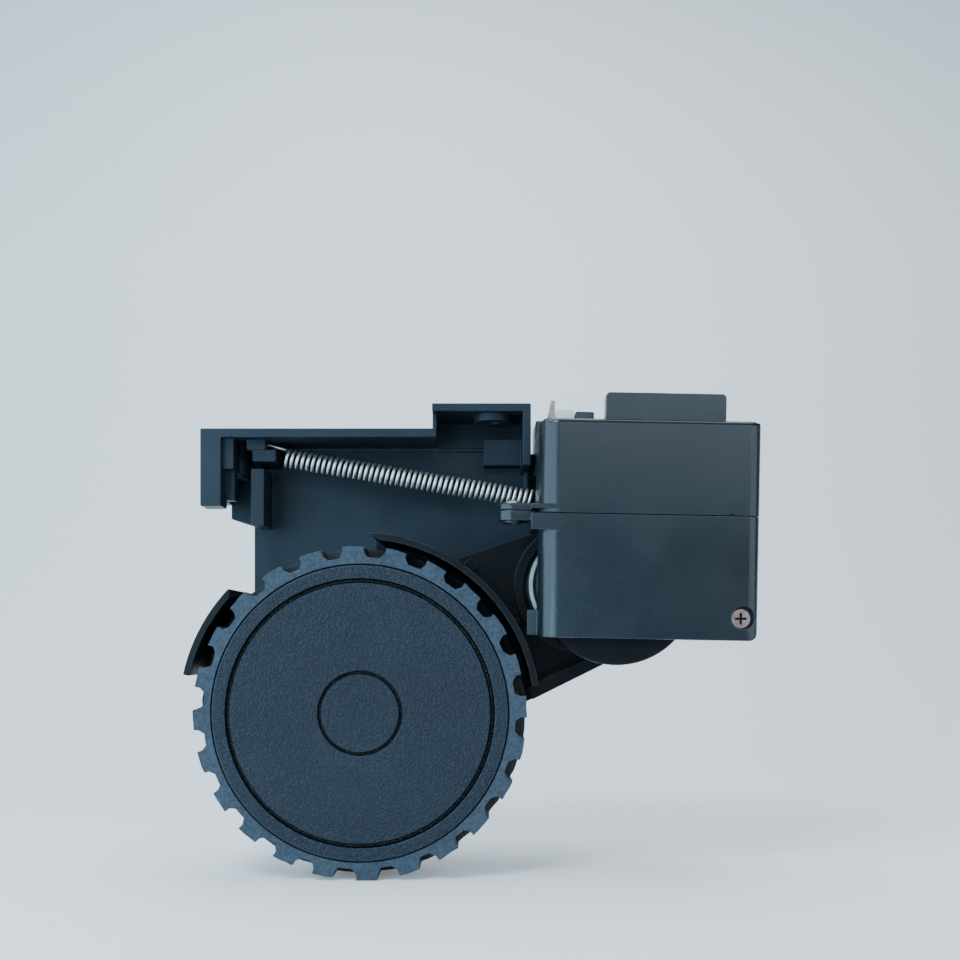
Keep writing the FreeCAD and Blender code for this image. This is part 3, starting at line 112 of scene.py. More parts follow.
def softened(nodeName, pieceName, width, sharpest=rounding["sharp"], wider=()):
    # a copy of a moulded node with its sharp edges rounded by width, in millimetres; wider lists
    # the edges with a rounding of their own, each as the box that holds them and that width
    mesh = nodes[nodeName].data.copy()
    mesh.name = pieceName
    mesh.materials.clear()
    piece = bpy.data.objects.new(pieceName, mesh)
    bpy.context.scene.collection.objects.link(piece)
    work = bmesh.new()
    work.from_mesh(mesh)
    bmesh.ops.remove_doubles(work, verts=work.verts, dist=rounding["weld"])
    bmesh.ops.dissolve_limit(work, angle_limit=math.radians(rounding["flat"]), verts=work.verts,
                             edges=work.edges)
    surface = BVHTree.FromBMesh(work)
    for low, high, ownWidth in wider:
        low, high = spot(*low), spot(*high)
        chosen = [edge for edge in work.edges if edge.calc_face_angle(0.0) > math.radians(sharpest)
                  and all(low[axis] < end.co[axis] < high[axis]
                          for end in edge.verts for axis in range(3))]
        roundEdges(work, chosen, ownWidth, rounding["wideSteps"])
    sharp = [edge for edge in work.edges if edge.is_manifold
             and edge.calc_face_angle(0.0) > math.radians(sharpest)]
    roundEdges(work, sharp, width, rounding["steps"])
    largest = max([width] + [ownWidth for _, _, ownWidth in wider]) / 1000
    reach = [(min(end.co[axis] for end in mesh.vertices), max(end.co[axis] for end in mesh.vertices))
             for axis in range(3)]
    for corner in work.verts:  # where small faces crowd, a rounding stays on the moulding's surface
        near, normal, _, distance = surface.find_nearest(corner.co)
        if distance > rounding["far"] * largest or (corner.co - near).dot(normal) > rounding["proud"]:
            corner.co = near
        for axis, (low, high) in enumerate(reach):
            corner.co[axis] = min(max(corner.co[axis], low), high)
    refill(work)
    work.to_mesh(mesh)
    work.free()
    return smoothShade(piece)


def lathe(name, profile, centre, steps):
    # turned about an axis along Y; the profile is (radius, y) in millimetres
    corners, faces, rings = [], [], []
    for radius, y in profile:
        if radius == 0:
            rings.append([len(corners)])
            corners.append(spot(centre[0], y, centre[1]))
            continue
        rings.append(list(range(len(corners), len(corners) + steps)))
        for step in range(steps):
            turn = 2 * math.pi * step / steps
            corners.append(spot(centre[0] + radius * math.cos(turn), y,
                                centre[1] + radius * math.sin(turn)))
    for inner, outer in zip(rings, rings[1:]):
        for step in range(steps):
            beside = (step + 1) % steps
            if len(inner) == 1:
                faces.append((inner[0], outer[beside], outer[step]))
            elif len(outer) == 1:
                faces.append((inner[step], inner[beside], outer[0]))
            else:
                faces.append((inner[step], inner[beside], outer[beside], outer[step]))
    return newPiece(name, corners, faces)


def roundedProfile(points, steps=5):
    # a half section from its corners as (radius, y, corner radius), each corner turned by short runs
    profile = []
    for index, (across, along, corner) in enumerate(points):
        if corner == 0 or index in (0, len(points) - 1):
            profile.append((across, along))
            continue
        here = Vector((across, along))
        back = (Vector(points[index - 1][:2]) - here).normalized()
        ahead = (Vector(points[index + 1][:2]) - here).normalized()
        half = back.angle(ahead) / 2
        middle = here + (back + ahead).normalized() * (corner / math.sin(half))
        start, end = here + back * (corner / math.tan(half)), here + ahead * (corner / math.tan(half))
        for step in range(steps + 1):
            share = step / steps
            point = start.lerp(end, share)
            point = middle + (point - middle).normalized() * corner
            profile.append((point.x, point.y))
    return profile


# Shader groups that more than one finish uses

def newGroup(name, inputs, outputs):
    group = bpy.data.node_groups.new(name, "ShaderNodeTree")
    for socketName, kind, value in inputs:
        socket = group.interface.new_socket(name=socketName, in_out="INPUT", socket_type=kind)
        if value is not None:
            socket.default_value = value
    for socketName, kind in outputs:
        group.interface.new_socket(name=socketName, in_out="OUTPUT", socket_type=kind)
    return group, group.nodes.new("NodeGroupInput"), group.nodes.new("NodeGroupOutput")


def put(tree, kind, **values):
    node = tree.nodes.new(kind)
    for key, value in values.items():
        if hasattr(node, key):
            setattr(node, key, value)
        else:
            node.inputs[key.replace("_", " ")].default_value = value
    return node


def maths(tree, operation, first, second=None, clamp=False):
    node = put(tree, "ShaderNodeMath", operation=operation, use_clamp=clamp)
    for index, value in enumerate((first, second)):
        if value is None:
            continue
        if isinstance(value, (int, float)):
            node.inputs[index].default_value = value
        else:
            tree.links.new(value, node.inputs[index])
    return node.outputs[0]


def spread(tree, value, low, high, lowest=0.0, highest=1.0):
    node = put(tree, "ShaderNodeMapRange", interpolation_type="SMOOTHSTEP")
    tree.links.new(value, node.inputs["Value"])
    for name, amount in (("From Min", low), ("From Max", high), ("To Min", lowest), ("To Max", highest)):
        if isinstance(amount, (int, float)):
            node.inputs[name].default_value = amount
        else:
            tree.links.new(amount, node.inputs[name])
    return node.outputs["Result"]


def fineNoise(tree, place, scale, detail=2.0, rough=0.5, distortion=0.0):
    node = put(tree, "ShaderNodeTexNoise", Detail=detail, Roughness=rough, Distortion=distortion)
    tree.links.new(place, node.inputs["Vector"])
    if isinstance(scale, (int, float)):
        node.inputs["Scale"].default_value = scale
    else:
        tree.links.new(scale, node.inputs["Scale"])
    return node.outputs["Fac"]


def moved(tree, place, offset):
    node = put(tree, "ShaderNodeVectorMath", operation="ADD")
    tree.links.new(place, node.inputs[0])
    node.inputs[1].default_value = offset
    return node.outputs[0]


def stretched(tree, place, shares):
    node = put(tree, "ShaderNodeVectorMath", operation="MULTIPLY")
    tree.links.new(place, node.inputs[0])
    node.inputs[1].default_value = shares
    return node.outputs[0]


def makeMouldGrain():  # the fine matte grain of moulded plastic
    group, given, result = newGroup("mouldGrain", [
        ("Place", "NodeSocketVector", None), ("Fineness", "NodeSocketFloat", 4.0)],
        [("Height", "NodeSocketFloat")])
    coarse = fineNoise(group, given.outputs["Place"], given.outputs["Fineness"], 3.0, 0.65)
    ripple = fineNoise(group, moved(group, given.outputs["Place"], (31, 7, 12)), 0.35, 1.0, 0.4)
    height = maths(group, "ADD", maths(group, "MULTIPLY", coarse, 0.85),
                   maths(group, "MULTIPLY", ripple, 0.35))
    group.links.new(height, result.inputs["Height"])
    return group


def makePebbleGrain():  # the leathery pebbles of the wheel cap
    group, given, result = newGroup("pebbleGrain", [
        ("Place", "NodeSocketVector", None), ("Fineness", "NodeSocketFloat", 1.6)],
        [("Height", "NodeSocketFloat"), ("Pits", "NodeSocketFloat")])
    shake = put(group, "ShaderNodeTexNoise", Scale=1.3, Detail=2.0)
    group.links.new(given.outputs["Place"], shake.inputs["Vector"])
    drift = put(group, "ShaderNodeVectorMath", operation="MULTIPLY_ADD")
    group.links.new(shake.outputs["Color"], drift.inputs[0])
    drift.inputs[1].default_value = (0.9, 0.9, 0.9)
    group.links.new(given.outputs["Place"], drift.inputs[2])
    cells = put(group, "ShaderNodeTexVoronoi", feature="SMOOTH_F1", Smoothness=0.55, Randomness=1.0)
    group.links.new(drift.outputs[0], cells.inputs["Vector"])
    group.links.new(given.outputs["Fineness"], cells.inputs["Scale"])
    hills = spread(group, cells.outputs["Distance"], 0.12, 0.72, 1.0, 0.0)
    finer = maths(group, "MULTIPLY", given.outputs["Fineness"], 2.3)
    fine = fineNoise(group, given.outputs["Place"], finer, 2.0, 0.6)
    height = maths(group, "ADD", maths(group, "MULTIPLY", hills, 0.7),
                   maths(group, "MULTIPLY", fine, 0.5))
    group.links.new(height, result.inputs["Height"])
    # the hollows between the pebbles, which the cap's finish darkens as painted shade
    group.links.new(spread(group, hills, 0.55, 0.15), result.inputs["Pits"])
    return group


def makeEdgeWear():  # polished or pale edges: where a rounded normal leaves the face's own
    group, given, result = newGroup("edgeWear", [
        ("Place", "NodeSocketVector", None), ("Width", "NodeSocketFloat", 0.0003),
        ("Patches", "NodeSocketFloat", 0.5)], [("Mask", "NodeSocketFloat")])
    rounded = put(group, "ShaderNodeBevel", samples=4)
    group.links.new(given.outputs["Width"], rounded.inputs["Radius"])
    face = put(group, "ShaderNodeNewGeometry")
    along = put(group, "ShaderNodeVectorMath", operation="DOT_PRODUCT")
    group.links.new(rounded.outputs["Normal"], along.inputs[0])
    group.links.new(face.outputs["Normal"], along.inputs[1])
    edge = spread(group, maths(group, "SUBTRACT", 1.0, along.outputs["Value"]), 0.02, 0.22)
    patchy = fineNoise(group, given.outputs["Place"], 0.5, 4.0, 0.7)
    full = maths(group, "ADD", given.outputs["Patches"], 0.18)
    patches = spread(group, patchy, given.outputs["Patches"], full)
    group.links.new(maths(group, "MULTIPLY", edge, patches, True), result.inputs["Mask"])
    return group


def makeDustFilm():  # thin dust: thicker on what faces up, broken by finger marks
    group, given, result = newGroup("dustFilm", [
        ("Place", "NodeSocketVector", None), ("Amount", "NodeSocketFloat", 0.4),
        ("Size", "NodeSocketFloat", 0.2)], [("Mask", "NodeSocketFloat")])
    way = put(group, "ShaderNodeTexCoord")
    parts = put(group, "ShaderNodeSeparateXYZ")
    group.links.new(way.outputs["Normal"], parts.inputs[0])
    upward = spread(group, parts.outputs["Z"], -0.2, 1.0, 0.45, 1.0)
    clouds = fineNoise(group, given.outputs["Place"], given.outputs["Size"], 5.0, 0.62)
    cloud = spread(group, clouds, 0.42, 0.68)
    grit = spread(group, fineNoise(group, given.outputs["Place"], 5.0, 2.0, 0.7), 0.4, 0.75, 0.35, 1.0)
    film = maths(group, "MULTIPLY", maths(group, "MULTIPLY", cloud, grit), upward)
    group.links.new(maths(group, "MULTIPLY", film, given.outputs["Amount"], True), result.inputs["Mask"])
    return group


def makeScratches():  # hairline scratches in two directions, with bare stretches between them
    group, given, result = newGroup("scratches", [
        ("Place", "NodeSocketVector", None), ("Amount", "NodeSocketFloat", 0.5)],
        [("Mask", "NodeSocketFloat")])
    total = None
    for angle, offset, shares in ((0.5, (3, 11, 5), (0.16, 1.0, 3.4)),
                                  (-0.85, (17, 2, 9), (0.22, 1.0, 4.2)),
                                  (1.35, (8, 21, 2), (0.12, 1.0, 3.0))):
        turn = put(group, "ShaderNodeVectorRotate", rotation_type="Y_AXIS", Angle=angle)
        group.links.new(moved(group, given.outputs["Place"], offset), turn.inputs["Vector"])
        streak = fineNoise(group, stretched(group, turn.outputs[0], shares), 1.0, 3.0, 0.55, 0.25)
        beside = maths(group, "ABSOLUTE", maths(group, "SUBTRACT", streak, 0.62))
        line = spread(group, beside, 0.012, 0.0)
        total = line if total is None else maths(group, "MAXIMUM", total, line)
    patches = spread(group, fineNoise(group, given.outputs["Place"], 0.12, 3.0, 0.6), 0.5, 0.66)
    broken = maths(group, "MULTIPLY", total, patches)
    mask = maths(group, "MULTIPLY", broken, given.outputs["Amount"], True)
    group.links.new(mask, result.inputs["Mask"])
    return group


def makeSpecks():  # separate pale specks of lint and grit
    group, given, result = newGroup("specks", [
        ("Place", "NodeSocketVector", None), ("Fineness", "NodeSocketFloat", 0.3),
        ("Share", "NodeSocketFloat", 0.25)], [("Mask", "NodeSocketFloat")])
    cells = put(group, "ShaderNodeTexVoronoi", feature="F1", Randomness=1.0)
    group.links.new(given.outputs["Place"], cells.inputs["Vector"])
    group.links.new(given.outputs["Fineness"], cells.inputs["Scale"])
    chance = put(group, "ShaderNodeSeparateColor")
    group.links.new(cells.outputs["Color"], chance.inputs[0])
    kept = maths(group, "LESS_THAN", chance.outputs[0], given.outputs["Share"])
    radius = spread(group, chance.outputs[1], 0.0, 1.0, 0.04, 0.15)
    size = maths(group, "MULTIPLY", radius, given.outputs["Fineness"])
    dot = spread(group, maths(group, "SUBTRACT", cells.outputs["Distance"], size), 0.008, -0.008)
    group.links.new(maths(group, "MULTIPLY", dot, kept, True), result.inputs["Mask"])
    return group


grains = {"mould": makeMouldGrain(), "pebble": makePebbleGrain()}
wearGroup, dustGroup = makeEdgeWear(), makeDustFilm()
scratchGroup, speckGroup = makeScratches(), makeSpecks()
print("shader groups made")


# Finishes

def placeInMillimetres(tree):
    where = put(tree, "ShaderNodeTexCoord")
    scaled = put(tree, "ShaderNodeVectorMath", operation="SCALE")
    tree.links.new(where.outputs["Object"], scaled.inputs[0])
    scaled.inputs["Scale"].default_value = 1000.0
    return scaled.outputs[0]


def groupNode(tree, group, place, **values):
    node = tree.nodes.new("ShaderNodeGroup")
    node.node_tree = group
    tree.links.new(place, node.inputs["Place"])
    for key, value in values.items():
        node.inputs[key].default_value = value
    return node


def mixed(tree, share, first, second):
    node = put(tree, "ShaderNodeMix", data_type="RGBA")
    tree.links.new(share, node.inputs["Factor"])
    for name, value in (("A", first), ("B", second)):
        socket = next(item for item in node.inputs if item.name == name and item.type == "RGBA")
        if isinstance(value, tuple):
            socket.default_value = (*value, 1.0)
        else:
            tree.links.new(value, socket)
    return next(item for item in node.outputs if item.type == "RGBA")


def makeFinish(name, look):
    material = bpy.data.materials.new(name)
    material.use_nodes = True
    tree = material.node_tree
    shader = tree.nodes["Principled BSDF"]
    place = placeInMillimetres(tree)
    shade = fineNoise(tree, place, look.get("cloudScale", 0.06), 2.0, 0.5)
    colour = mixed(tree, spread(tree, shade, 0.3, 0.7), look["colour"], look["second"])
    smudge = fineNoise(tree, moved(tree, place, (9, 4, 2)), look.get("smudgeScale", 0.12), 3.0, 0.55)
    rough = spread(tree, smudge, 0.3, 0.7, look["rough"][0], look["rough"][1])
    kind, fineness, depth = look["grain"]
    grain = groupNode(tree, grains[kind], place, Fineness=fineness)
    bump = put(tree, "ShaderNodeBump", Strength=look.get("grainStrength", 0.6), Distance=depth / 1000)
    tree.links.new(grain.outputs["Height"], bump.inputs["Height"])
    tree.links.new(bump.outputs["Normal"], shader.inputs["Normal"])
    # painted shade in the hollows of the cap's pebble grain
    if "pitShadeColour" in look:
        pits = maths(tree, "MULTIPLY", grain.outputs["Pits"], look["pits"])
        colour = mixed(tree, pits, colour, look["pitShadeColour"])
    if "edge" in look:
        edge = groupNode(tree, wearGroup, place, Width=look["edge"]["width"] / 1000,
                         Patches=look["edge"]["patches"])
        share = maths(tree, "MULTIPLY", edge.outputs["Mask"], look["edge"]["amount"])
        colour = mixed(tree, share, colour, look["edge"]["colour"])
    # painted light by depth: painted shade in grooves, between lugs, on the spring's back half and round
    # the corner screw's head, and a painted highlight on the cap grooves' rims
    if "depthLightAndShade" in look:  # another colour away from the outer face, as in grooves and between lugs
        level = put(tree, "ShaderNodeSeparateXYZ")
        tree.links.new(place, level.inputs[0])
    for first, last, tint in look.get("depthLightAndShade", ()):
        colour = mixed(tree, spread(tree, level.outputs["Y"], first, last), colour, tint)
    if "scratch" in look:
        scratch = groupNode(tree, scratchGroup, place, Amount=look["scratch"])
        colour = mixed(tree, scratch.outputs["Mask"], colour, look["scratchColour"])
    if "dust" in look:
        dust = groupNode(tree, dustGroup, place, Amount=look["dust"], Size=look.get("dustSize", 0.2))
        colour = mixed(tree, dust.outputs["Mask"], colour, look["dustColour"])
        rough = maths(tree, "ADD", rough, maths(tree, "MULTIPLY", dust.outputs["Mask"], 0.4), True)
    if "speck" in look:
        specks = groupNode(tree, speckGroup, place, Share=look["speck"])
        colour = mixed(tree, specks.outputs["Mask"], colour, look["dustColour"])
    tree.links.new(colour, shader.inputs["Base Color"])
    tree.links.new(rough, shader.inputs["Roughness"])
    shader.inputs["Metallic"].default_value = look.get("metal", 0.0)
    shader.inputs["Specular IOR Level"].default_value = look.get("specular", 0.5)
    return material


dustColour = (0.30, 0.36, 0.42)
capFace = 0.0 - module["hole"][1]  # along Y: the outer faces of the cap, the tyre and the corner screw
tyreFace = 0.3 - module["hole"][1]
headFace = 0.75 - module["hole"][1]
springAxis = 28.0 - module["hole"][1]
finishes = {
    "bracketPlastic": {"colour": (0.0095, 0.0165, 0.024), "second": (0.0135, 0.023, 0.033),
                       "rough": (0.40, 0.50), "specular": 0.2, "grain": ("mould", 5.0, 0.02),
                       "dust": 0.02, "dustColour": dustColour,
                       "edge": {"width": 0.4, "patches": 0.38, "amount": 0.3,
                                "colour": (0.11, 0.16, 0.21)}},
    "boxPlastic": {"colour": (0.0065, 0.011, 0.015), "second": (0.009, 0.015, 0.020),
                   "cloudScale": 0.035, "rough": (0.25, 0.31), "smudgeScale": 0.08,
                   "grain": ("mould", 5.0, 0.006), "dustColour": dustColour, "speck": 0.12,
                   "edge": {"width": 0.3, "patches": 0.2, "amount": 0.3, "colour": (0.10, 0.16, 0.21)}},
    "armPlastic": {"colour": (0.0032, 0.0037, 0.0046), "second": (0.0042, 0.005, 0.0064),
                   "rough": (0.34, 0.46), "specular": 0.13, "grain": ("mould", 4.0, 0.015),
                   "dust": 0.02, "dustColour": dustColour,
                   "edge": {"width": 0.3, "patches": 0.36, "amount": 0.4, "colour": (0.13, 0.18, 0.23)}},
    "capPlastic": {"colour": (0.0045, 0.0115, 0.022), "second": (0.0065, 0.015, 0.028),
                   "rough": (0.36, 0.44), "specular": 0.3, "grain": ("pebble", 2.1, 0.26),
                   # the pits' colour is painted shade in the grain's hollows
                   "grainStrength": 1.0, "pits": 0.3, "pitShadeColour": (0.004, 0.008, 0.013),
                   # painted highlight on the grooves' rims just behind the face, then painted shade in
                   # the grooves' floors
                   "depthLightAndShade": ((capFace + 0.01, capFace + 0.06, (0.02, 0.04, 0.06)),
                              (capFace + 0.12, capFace + 0.22, (0.0004, 0.0005, 0.0007)))},
    "tyreRubber": {"colour": (0.0085, 0.019, 0.033), "second": (0.022, 0.043, 0.067), "cloudScale": 1.5,
                   "rough": (0.6, 0.75), "grain": ("mould", 2.2, 0.16), "dust": 0.55, "dustSize": 0.55,
                   "dustColour": (0.055, 0.087, 0.119), "scratch": 0.6,
                   "scratchColour": (0.01, 0.014, 0.018),
                   # painted shade: near-black deeper than the face, between and behind the lugs
                   "depthLightAndShade": ((tyreFace + 1.5, tyreFace + 8.0, (0.006, 0.006, 0.007)),)},
    "brightSteel": {"colour": (0.66, 0.68, 0.69), "second": (0.76, 0.78, 0.79), "rough": (0.28, 0.36),
                    "metal": 1.0, "grain": ("mould", 5.0, 0.004)},
    "springSteel": {"colour": (0.88, 0.88, 0.87), "second": (0.94, 0.94, 0.93), "rough": (0.40, 0.46),
                    "metal": 1.0, "grain": ("mould", 5.0, 0.004),
                    # painted shade on the back half of the coils, seen through the gaps
                    "depthLightAndShade": ((springAxis - 0.5, springAxis + 0.8, (0.05, 0.052, 0.055)),)},
    "headSteel": {"colour": (0.36, 0.25, 0.22), "second": (0.47, 0.34, 0.31), "cloudScale": 0.9,
                  "rough": (0.30, 0.42), "metal": 1.0, "grain": ("mould", 6.0, 0.02),
                  # painted shade on the head behind its face, down in its sink
                  "depthLightAndShade": ((headFace + 0.05, headFace + 0.3, (0.03, 0.022, 0.02)),)},
    "screwSteel": {"colour": (0.30, 0.235, 0.22), "second": (0.40, 0.33, 0.31), "cloudScale": 0.5,
                   "rough": (0.34, 0.46), "metal": 1.0, "grain": ("mould", 6.0, 0.02)},
    "canSteel": {"colour": (0.32, 0.39, 0.38), "second": (0.42, 0.49, 0.47), "cloudScale": 0.3,
                 "rough": (0.3, 0.4), "metal": 1.0, "grain": ("mould", 6.0, 0.01)},
    "darkFerrite": {"colour": (0.03, 0.03, 0.033), "second": (0.04, 0.04, 0.043), "rough": (0.5, 0.7),
                    "grain": ("mould", 6.0, 0.03)},
    "copper": {"colour": (0.60, 0.26, 0.12), "second": (0.68, 0.32, 0.16), "rough": (0.25, 0.4),
               "metal": 1.0, "grain": ("mould", 2.0, 0.02)},
    "bronze": {"colour": (0.50, 0.36, 0.18), "second": (0.58, 0.43, 0.23), "rough": (0.35, 0.5),
               "metal": 1.0, "grain": ("mould", 6.0, 0.02)},
    "whiteAcetal": {"colour": (0.66, 0.65, 0.60), "second": (0.72, 0.71, 0.66), "rough": (0.35, 0.45),
                    "grain": ("mould", 3.0, 0.01)},
    "greyAcetal": {"colour": (0.20, 0.21, 0.23), "second": (0.23, 0.24, 0.26), "rough": (0.35, 0.45),
                   "grain": ("mould", 3.0, 0.01)},
    "boardGreen": {"colour": (0.02, 0.10, 0.05), "second": (0.03, 0.13, 0.06), "rough": (0.3, 0.4),
                   "grain": ("mould", 1.5, 0.01)},
    "tinnedTab": {"colour": (0.26, 0.22, 0.17), "second": (0.38, 0.34, 0.28), "cloudScale": 0.8,
                  "rough": (0.35, 0.5), "metal": 1.0, "grain": ("mould", 4.0, 0.01)},
    "socketNylon": {"colour": (0.62, 0.62, 0.58), "second": (0.72, 0.72, 0.68), "cloudScale": 0.4,
                    "rough": (0.4, 0.5), "grain": ("mould", 3.0, 0.01), "dust": 0.25,
                    "dustColour": (0.35, 0.33, 0.3)},
    "buttonRed": {"colour": (0.35, 0.05, 0.04), "second": (0.42, 0.07, 0.05), "rough": (0.4, 0.5),
                  "grain": ("mould", 3.0, 0.01)},
}
nodeFinishes = {
    "bracketPlastic": ["bracket"],
    "boxPlastic": ["housing_upper", "housing_lower", "cable_block", "tab_base"],
    "armPlastic": ["arm_shell", "arm_cover", "drum_cap", "wheel_rim", "motor_plate", "switch_case"],
    "capPlastic": ["wheel_cap"], "tyreRubber": ["tyre"],
    "brightSteel": ["spring", "gear_pin_1", "gear_pin_2", "gear_pin_3", "motor_shaft", "wheel_axle",
                    "switch_lever", "pivot_washer"],
    "headSteel": ["corner_screw"],
    "screwSteel": ["ear_screw", "housing_screws", "arm_screws", "pivot_screw", "drum_screws",
                   "motor_screws", "wheel_screw"],
    "canSteel": ["motor_can", "armature_core"],
    "darkFerrite": ["magnet_upper", "magnet_lower", "encoder_magnet", "brush_left", "brush_right"],
    "copper": ["armature_winding", "commutator"],
    "bronze": ["axle_bush_front", "axle_bush_rear", "motor_bush_front", "motor_bush_rear",
               "motor_pinion"],
    "whiteAcetal": ["gear_1", "gear_2", "gear_3"], "greyAcetal": ["output_gear"],
    "boardGreen": ["switch_board", "encoder_board"],
    "tinnedTab": ["contact_tab", "connector_pins", "motor_terminals"],
    "socketNylon": ["connector_socket"], "buttonRed": ["switch_button"],
}
materials = {name: makeFinish(name, look) for name, look in finishes.items()}


def dress(piece, finishName):
    piece.data.materials.clear()
    piece.data.materials.append(materials[finishName])
    return piece


for finishName, names in nodeFinishes.items():
    for name in names:
        if nodes[name].material_slots:
            for holder in nodes[name].material_slots:
                holder.material = materials[finishName]
        else:
            nodes[name].data.materials.append(materials[finishName])
print("finishes made,", len(materials))

# Camera, floor and lights

view = {"distance": 250.0, "lens": 45.0, "sensor": 36.0,
        "aimPixel": (471.0, 637.0), "picture": 960.0}  # where the camera's axis meets the picture
camera = bpy.data.objects.new("camera", bpy.data.cameras.new("camera"))
bpy.context.scene.collection.objects.link(camera)
camera.location = spot(0.0, -view["distance"], 0.0)
camera.rotation_euler = (math.radians(90), 0, 0)
camera.data.lens = view["lens"]
camera.data.sensor_width = view["sensor"]
camera.data.shift_x = 0.5 - view["aimPixel"][0] / view["picture"]
camera.data.shift_y = view["aimPixel"][1] / view["picture"] - 0.5
camera.data.clip_start = 0.01
bpy.context.scene.camera = camera

floorLook = {"width": 2400.0, "near": -170.0, "far": 420.0, "bend": 260.0, "bendSteps": 24,
             "rise": 1100.0, "wheelRadius": 35.0,
             "colour": (0.86, 0.87, 0.88), "glow": (0.16, 0.17, 0.18), "rough": 0.85}


def makeFloor(look):  # the wheel stands on it, and it bends up into a wall behind
    level = module["wheel"][1] - look["wheelRadius"]
    sweep = [(look["near"], level)]
    for step in range(look["bendSteps"] + 1):
        turn = math.radians(90 * step / look["bendSteps"])
        sweep.append((look["far"] - look["bend"] + look["bend"] * math.sin(turn),
                      level + look["bend"] * (1 - math.cos(turn))))
    sweep.append((look["far"], level + look["rise"]))
    half = look["width"] / 2
    corners = [spot(side * half, y, z) for y, z in sweep for side in (-1, 1)]
    faces = [(2 * step, 2 * step + 1, 2 * step + 3, 2 * step + 2) for step in range(len(sweep) - 1)]
    floor = newPiece("floorSweep", corners, faces)
    floor.data.polygons.foreach_set("use_smooth", [True] * len(faces))
    paper = bpy.data.materials.new("palePaper")
    paper.use_nodes = True
    shader = paper.node_tree.nodes["Principled BSDF"]
    shader.inputs["Base Color"].default_value = (*look["colour"], 1.0)
    shader.inputs["Roughness"].default_value = look["rough"]
    shader.inputs["Emission Color"].default_value = (*look["glow"], 1.0)
    shader.inputs["Emission Strength"].default_value = 1.0
    floor.data.materials.append(paper)


makeFloor(floorLook)

lights = {
    "key": {"place": (-190, -300, 430), "aim": (0, 10, 0), "size": (200, 160), "power": 2.2,
            "colour": (0.82, 0.92, 1.0)},
    "top": {"place": (40, 100, 460), "aim": (10, 20, 20), "size": (420, 300), "power": 1.8,
            "colour": (0.82, 0.93, 1.0)},
    "front": {"place": (120, -430, 190), "aim": (20, 0, 20), "size": (300, 180), "power": 0.5,
              "colour": (0.70, 0.87, 1.0)},
    "left": {"place": (-350, -230, 80), "aim": (10, 0, 20), "size": (760, 320), "power": 3.5,
             "colour": (0.52, 0.79, 1.0)},
    "low": {"place": (-110, -380, -15), "aim": (-30, 0, -45), "size": (260, 60), "power": 0.35,
            "colour": (0.45, 0.74, 1.0)},
    "right": {"place": (330, -230, 60), "aim": (20, 0, 20), "size": (420, 260), "power": 0.7,
              "colour": (0.8, 0.92, 1.0)},
}


def addLight(name, look):
    lamp = bpy.data.lights.new(name, "AREA")
    lamp.shape = "RECTANGLE"
    lamp.size, lamp.size_y = look["size"][0] / 1000, look["size"][1] / 1000
    lamp.energy = look["power"]
    lamp.color = look["colour"]
    holder = bpy.data.objects.new(name, lamp)
    bpy.context.scene.collection.objects.link(holder)
    holder.location = spot(*look["place"])
    holder.rotation_euler = (spot(*look["aim"]) - holder.location).to_track_quat("-Z", "Y").to_euler()


for name, look in lights.items():
    addLight(name, look)
roomLight = {"colour": (0.42, 0.68, 1.0), "strength": 0.12}
world = bpy.data.worlds.new("studio")
bpy.context.scene.world = world
world.use_nodes = True
background = world.node_tree.nodes["Background"]
background.inputs["Color"].default_value = (*roomLight["colour"], 1.0)
background.inputs["Strength"].default_value = roomLight["strength"]
print("camera, floor and lights set")

# Moulded pieces with their edges rounded

boxTopEdge = ((10, -1, 44.5), (70, 1, 60), 1.2)  # the box around the long front edge, and its rounding
mouldings = [  # node, piece, finish, body, rounding
    ("housing_upper", "boxUpper", "boxPlastic", "bracket", 0.2),
    ("housing_lower", "boxLower", "boxPlastic", "bracket", 0.2),
    ("bracket", "bracketTray", "bracketPlastic", "bracket", 0.25),
    ("arm_shell", "armShell", "armPlastic", "arm", 0.2),
    ("arm_cover", "armCover", "armPlastic", "arm", 0.25),
    ("wheel_rim", "wheelRim", "armPlastic", "wheel", 0.2),
    ("cable_block", "plugBlock", "boxPlastic", "bracket", 0.3),
    ("tab_base", "tabFoot", "boxPlastic", "bracket", 0.15),
    ("connector_socket", "socketShell", "socketNylon", "bracket", 0.15),
    ("switch_case", "switchCase", "armPlastic", "bracket", 0.15),
    ("pivot_washer", "pivotWasher", "brightSteel", "arm", 0.12),
    ("housing_screws", "boxScrews", "screwSteel", "bracket", 0.12),
    ("arm_screws", "armScrews", "screwSteel", "arm", 0.12),
    ("pivot_screw", "pivotScrew", "screwSteel", "arm", 0.14),
]
for nodeName, pieceName, finishName, body, width in mouldings:
    wider = [boxTopEdge] if pieceName == "boxUpper" else []
    piece = dress(softened(nodeName, pieceName, width, wider=wider), finishName)
    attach(piece, body)
    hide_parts(nodeName)
print("mouldings rounded")

# Tyre: worn lugs, no two quite alike

tyreLook = {"round": 0.18, "sharpest": 24.0, "wear": 0.55, "coarse": 0.22, "fine": 0.8,
            "fineShare": 0.25, "sideShare": 0.8, "seed": 7, "middle": 9.0,
            "seat": 32.6}  # the radius of the notches' floor, below which the rubber isn't worn


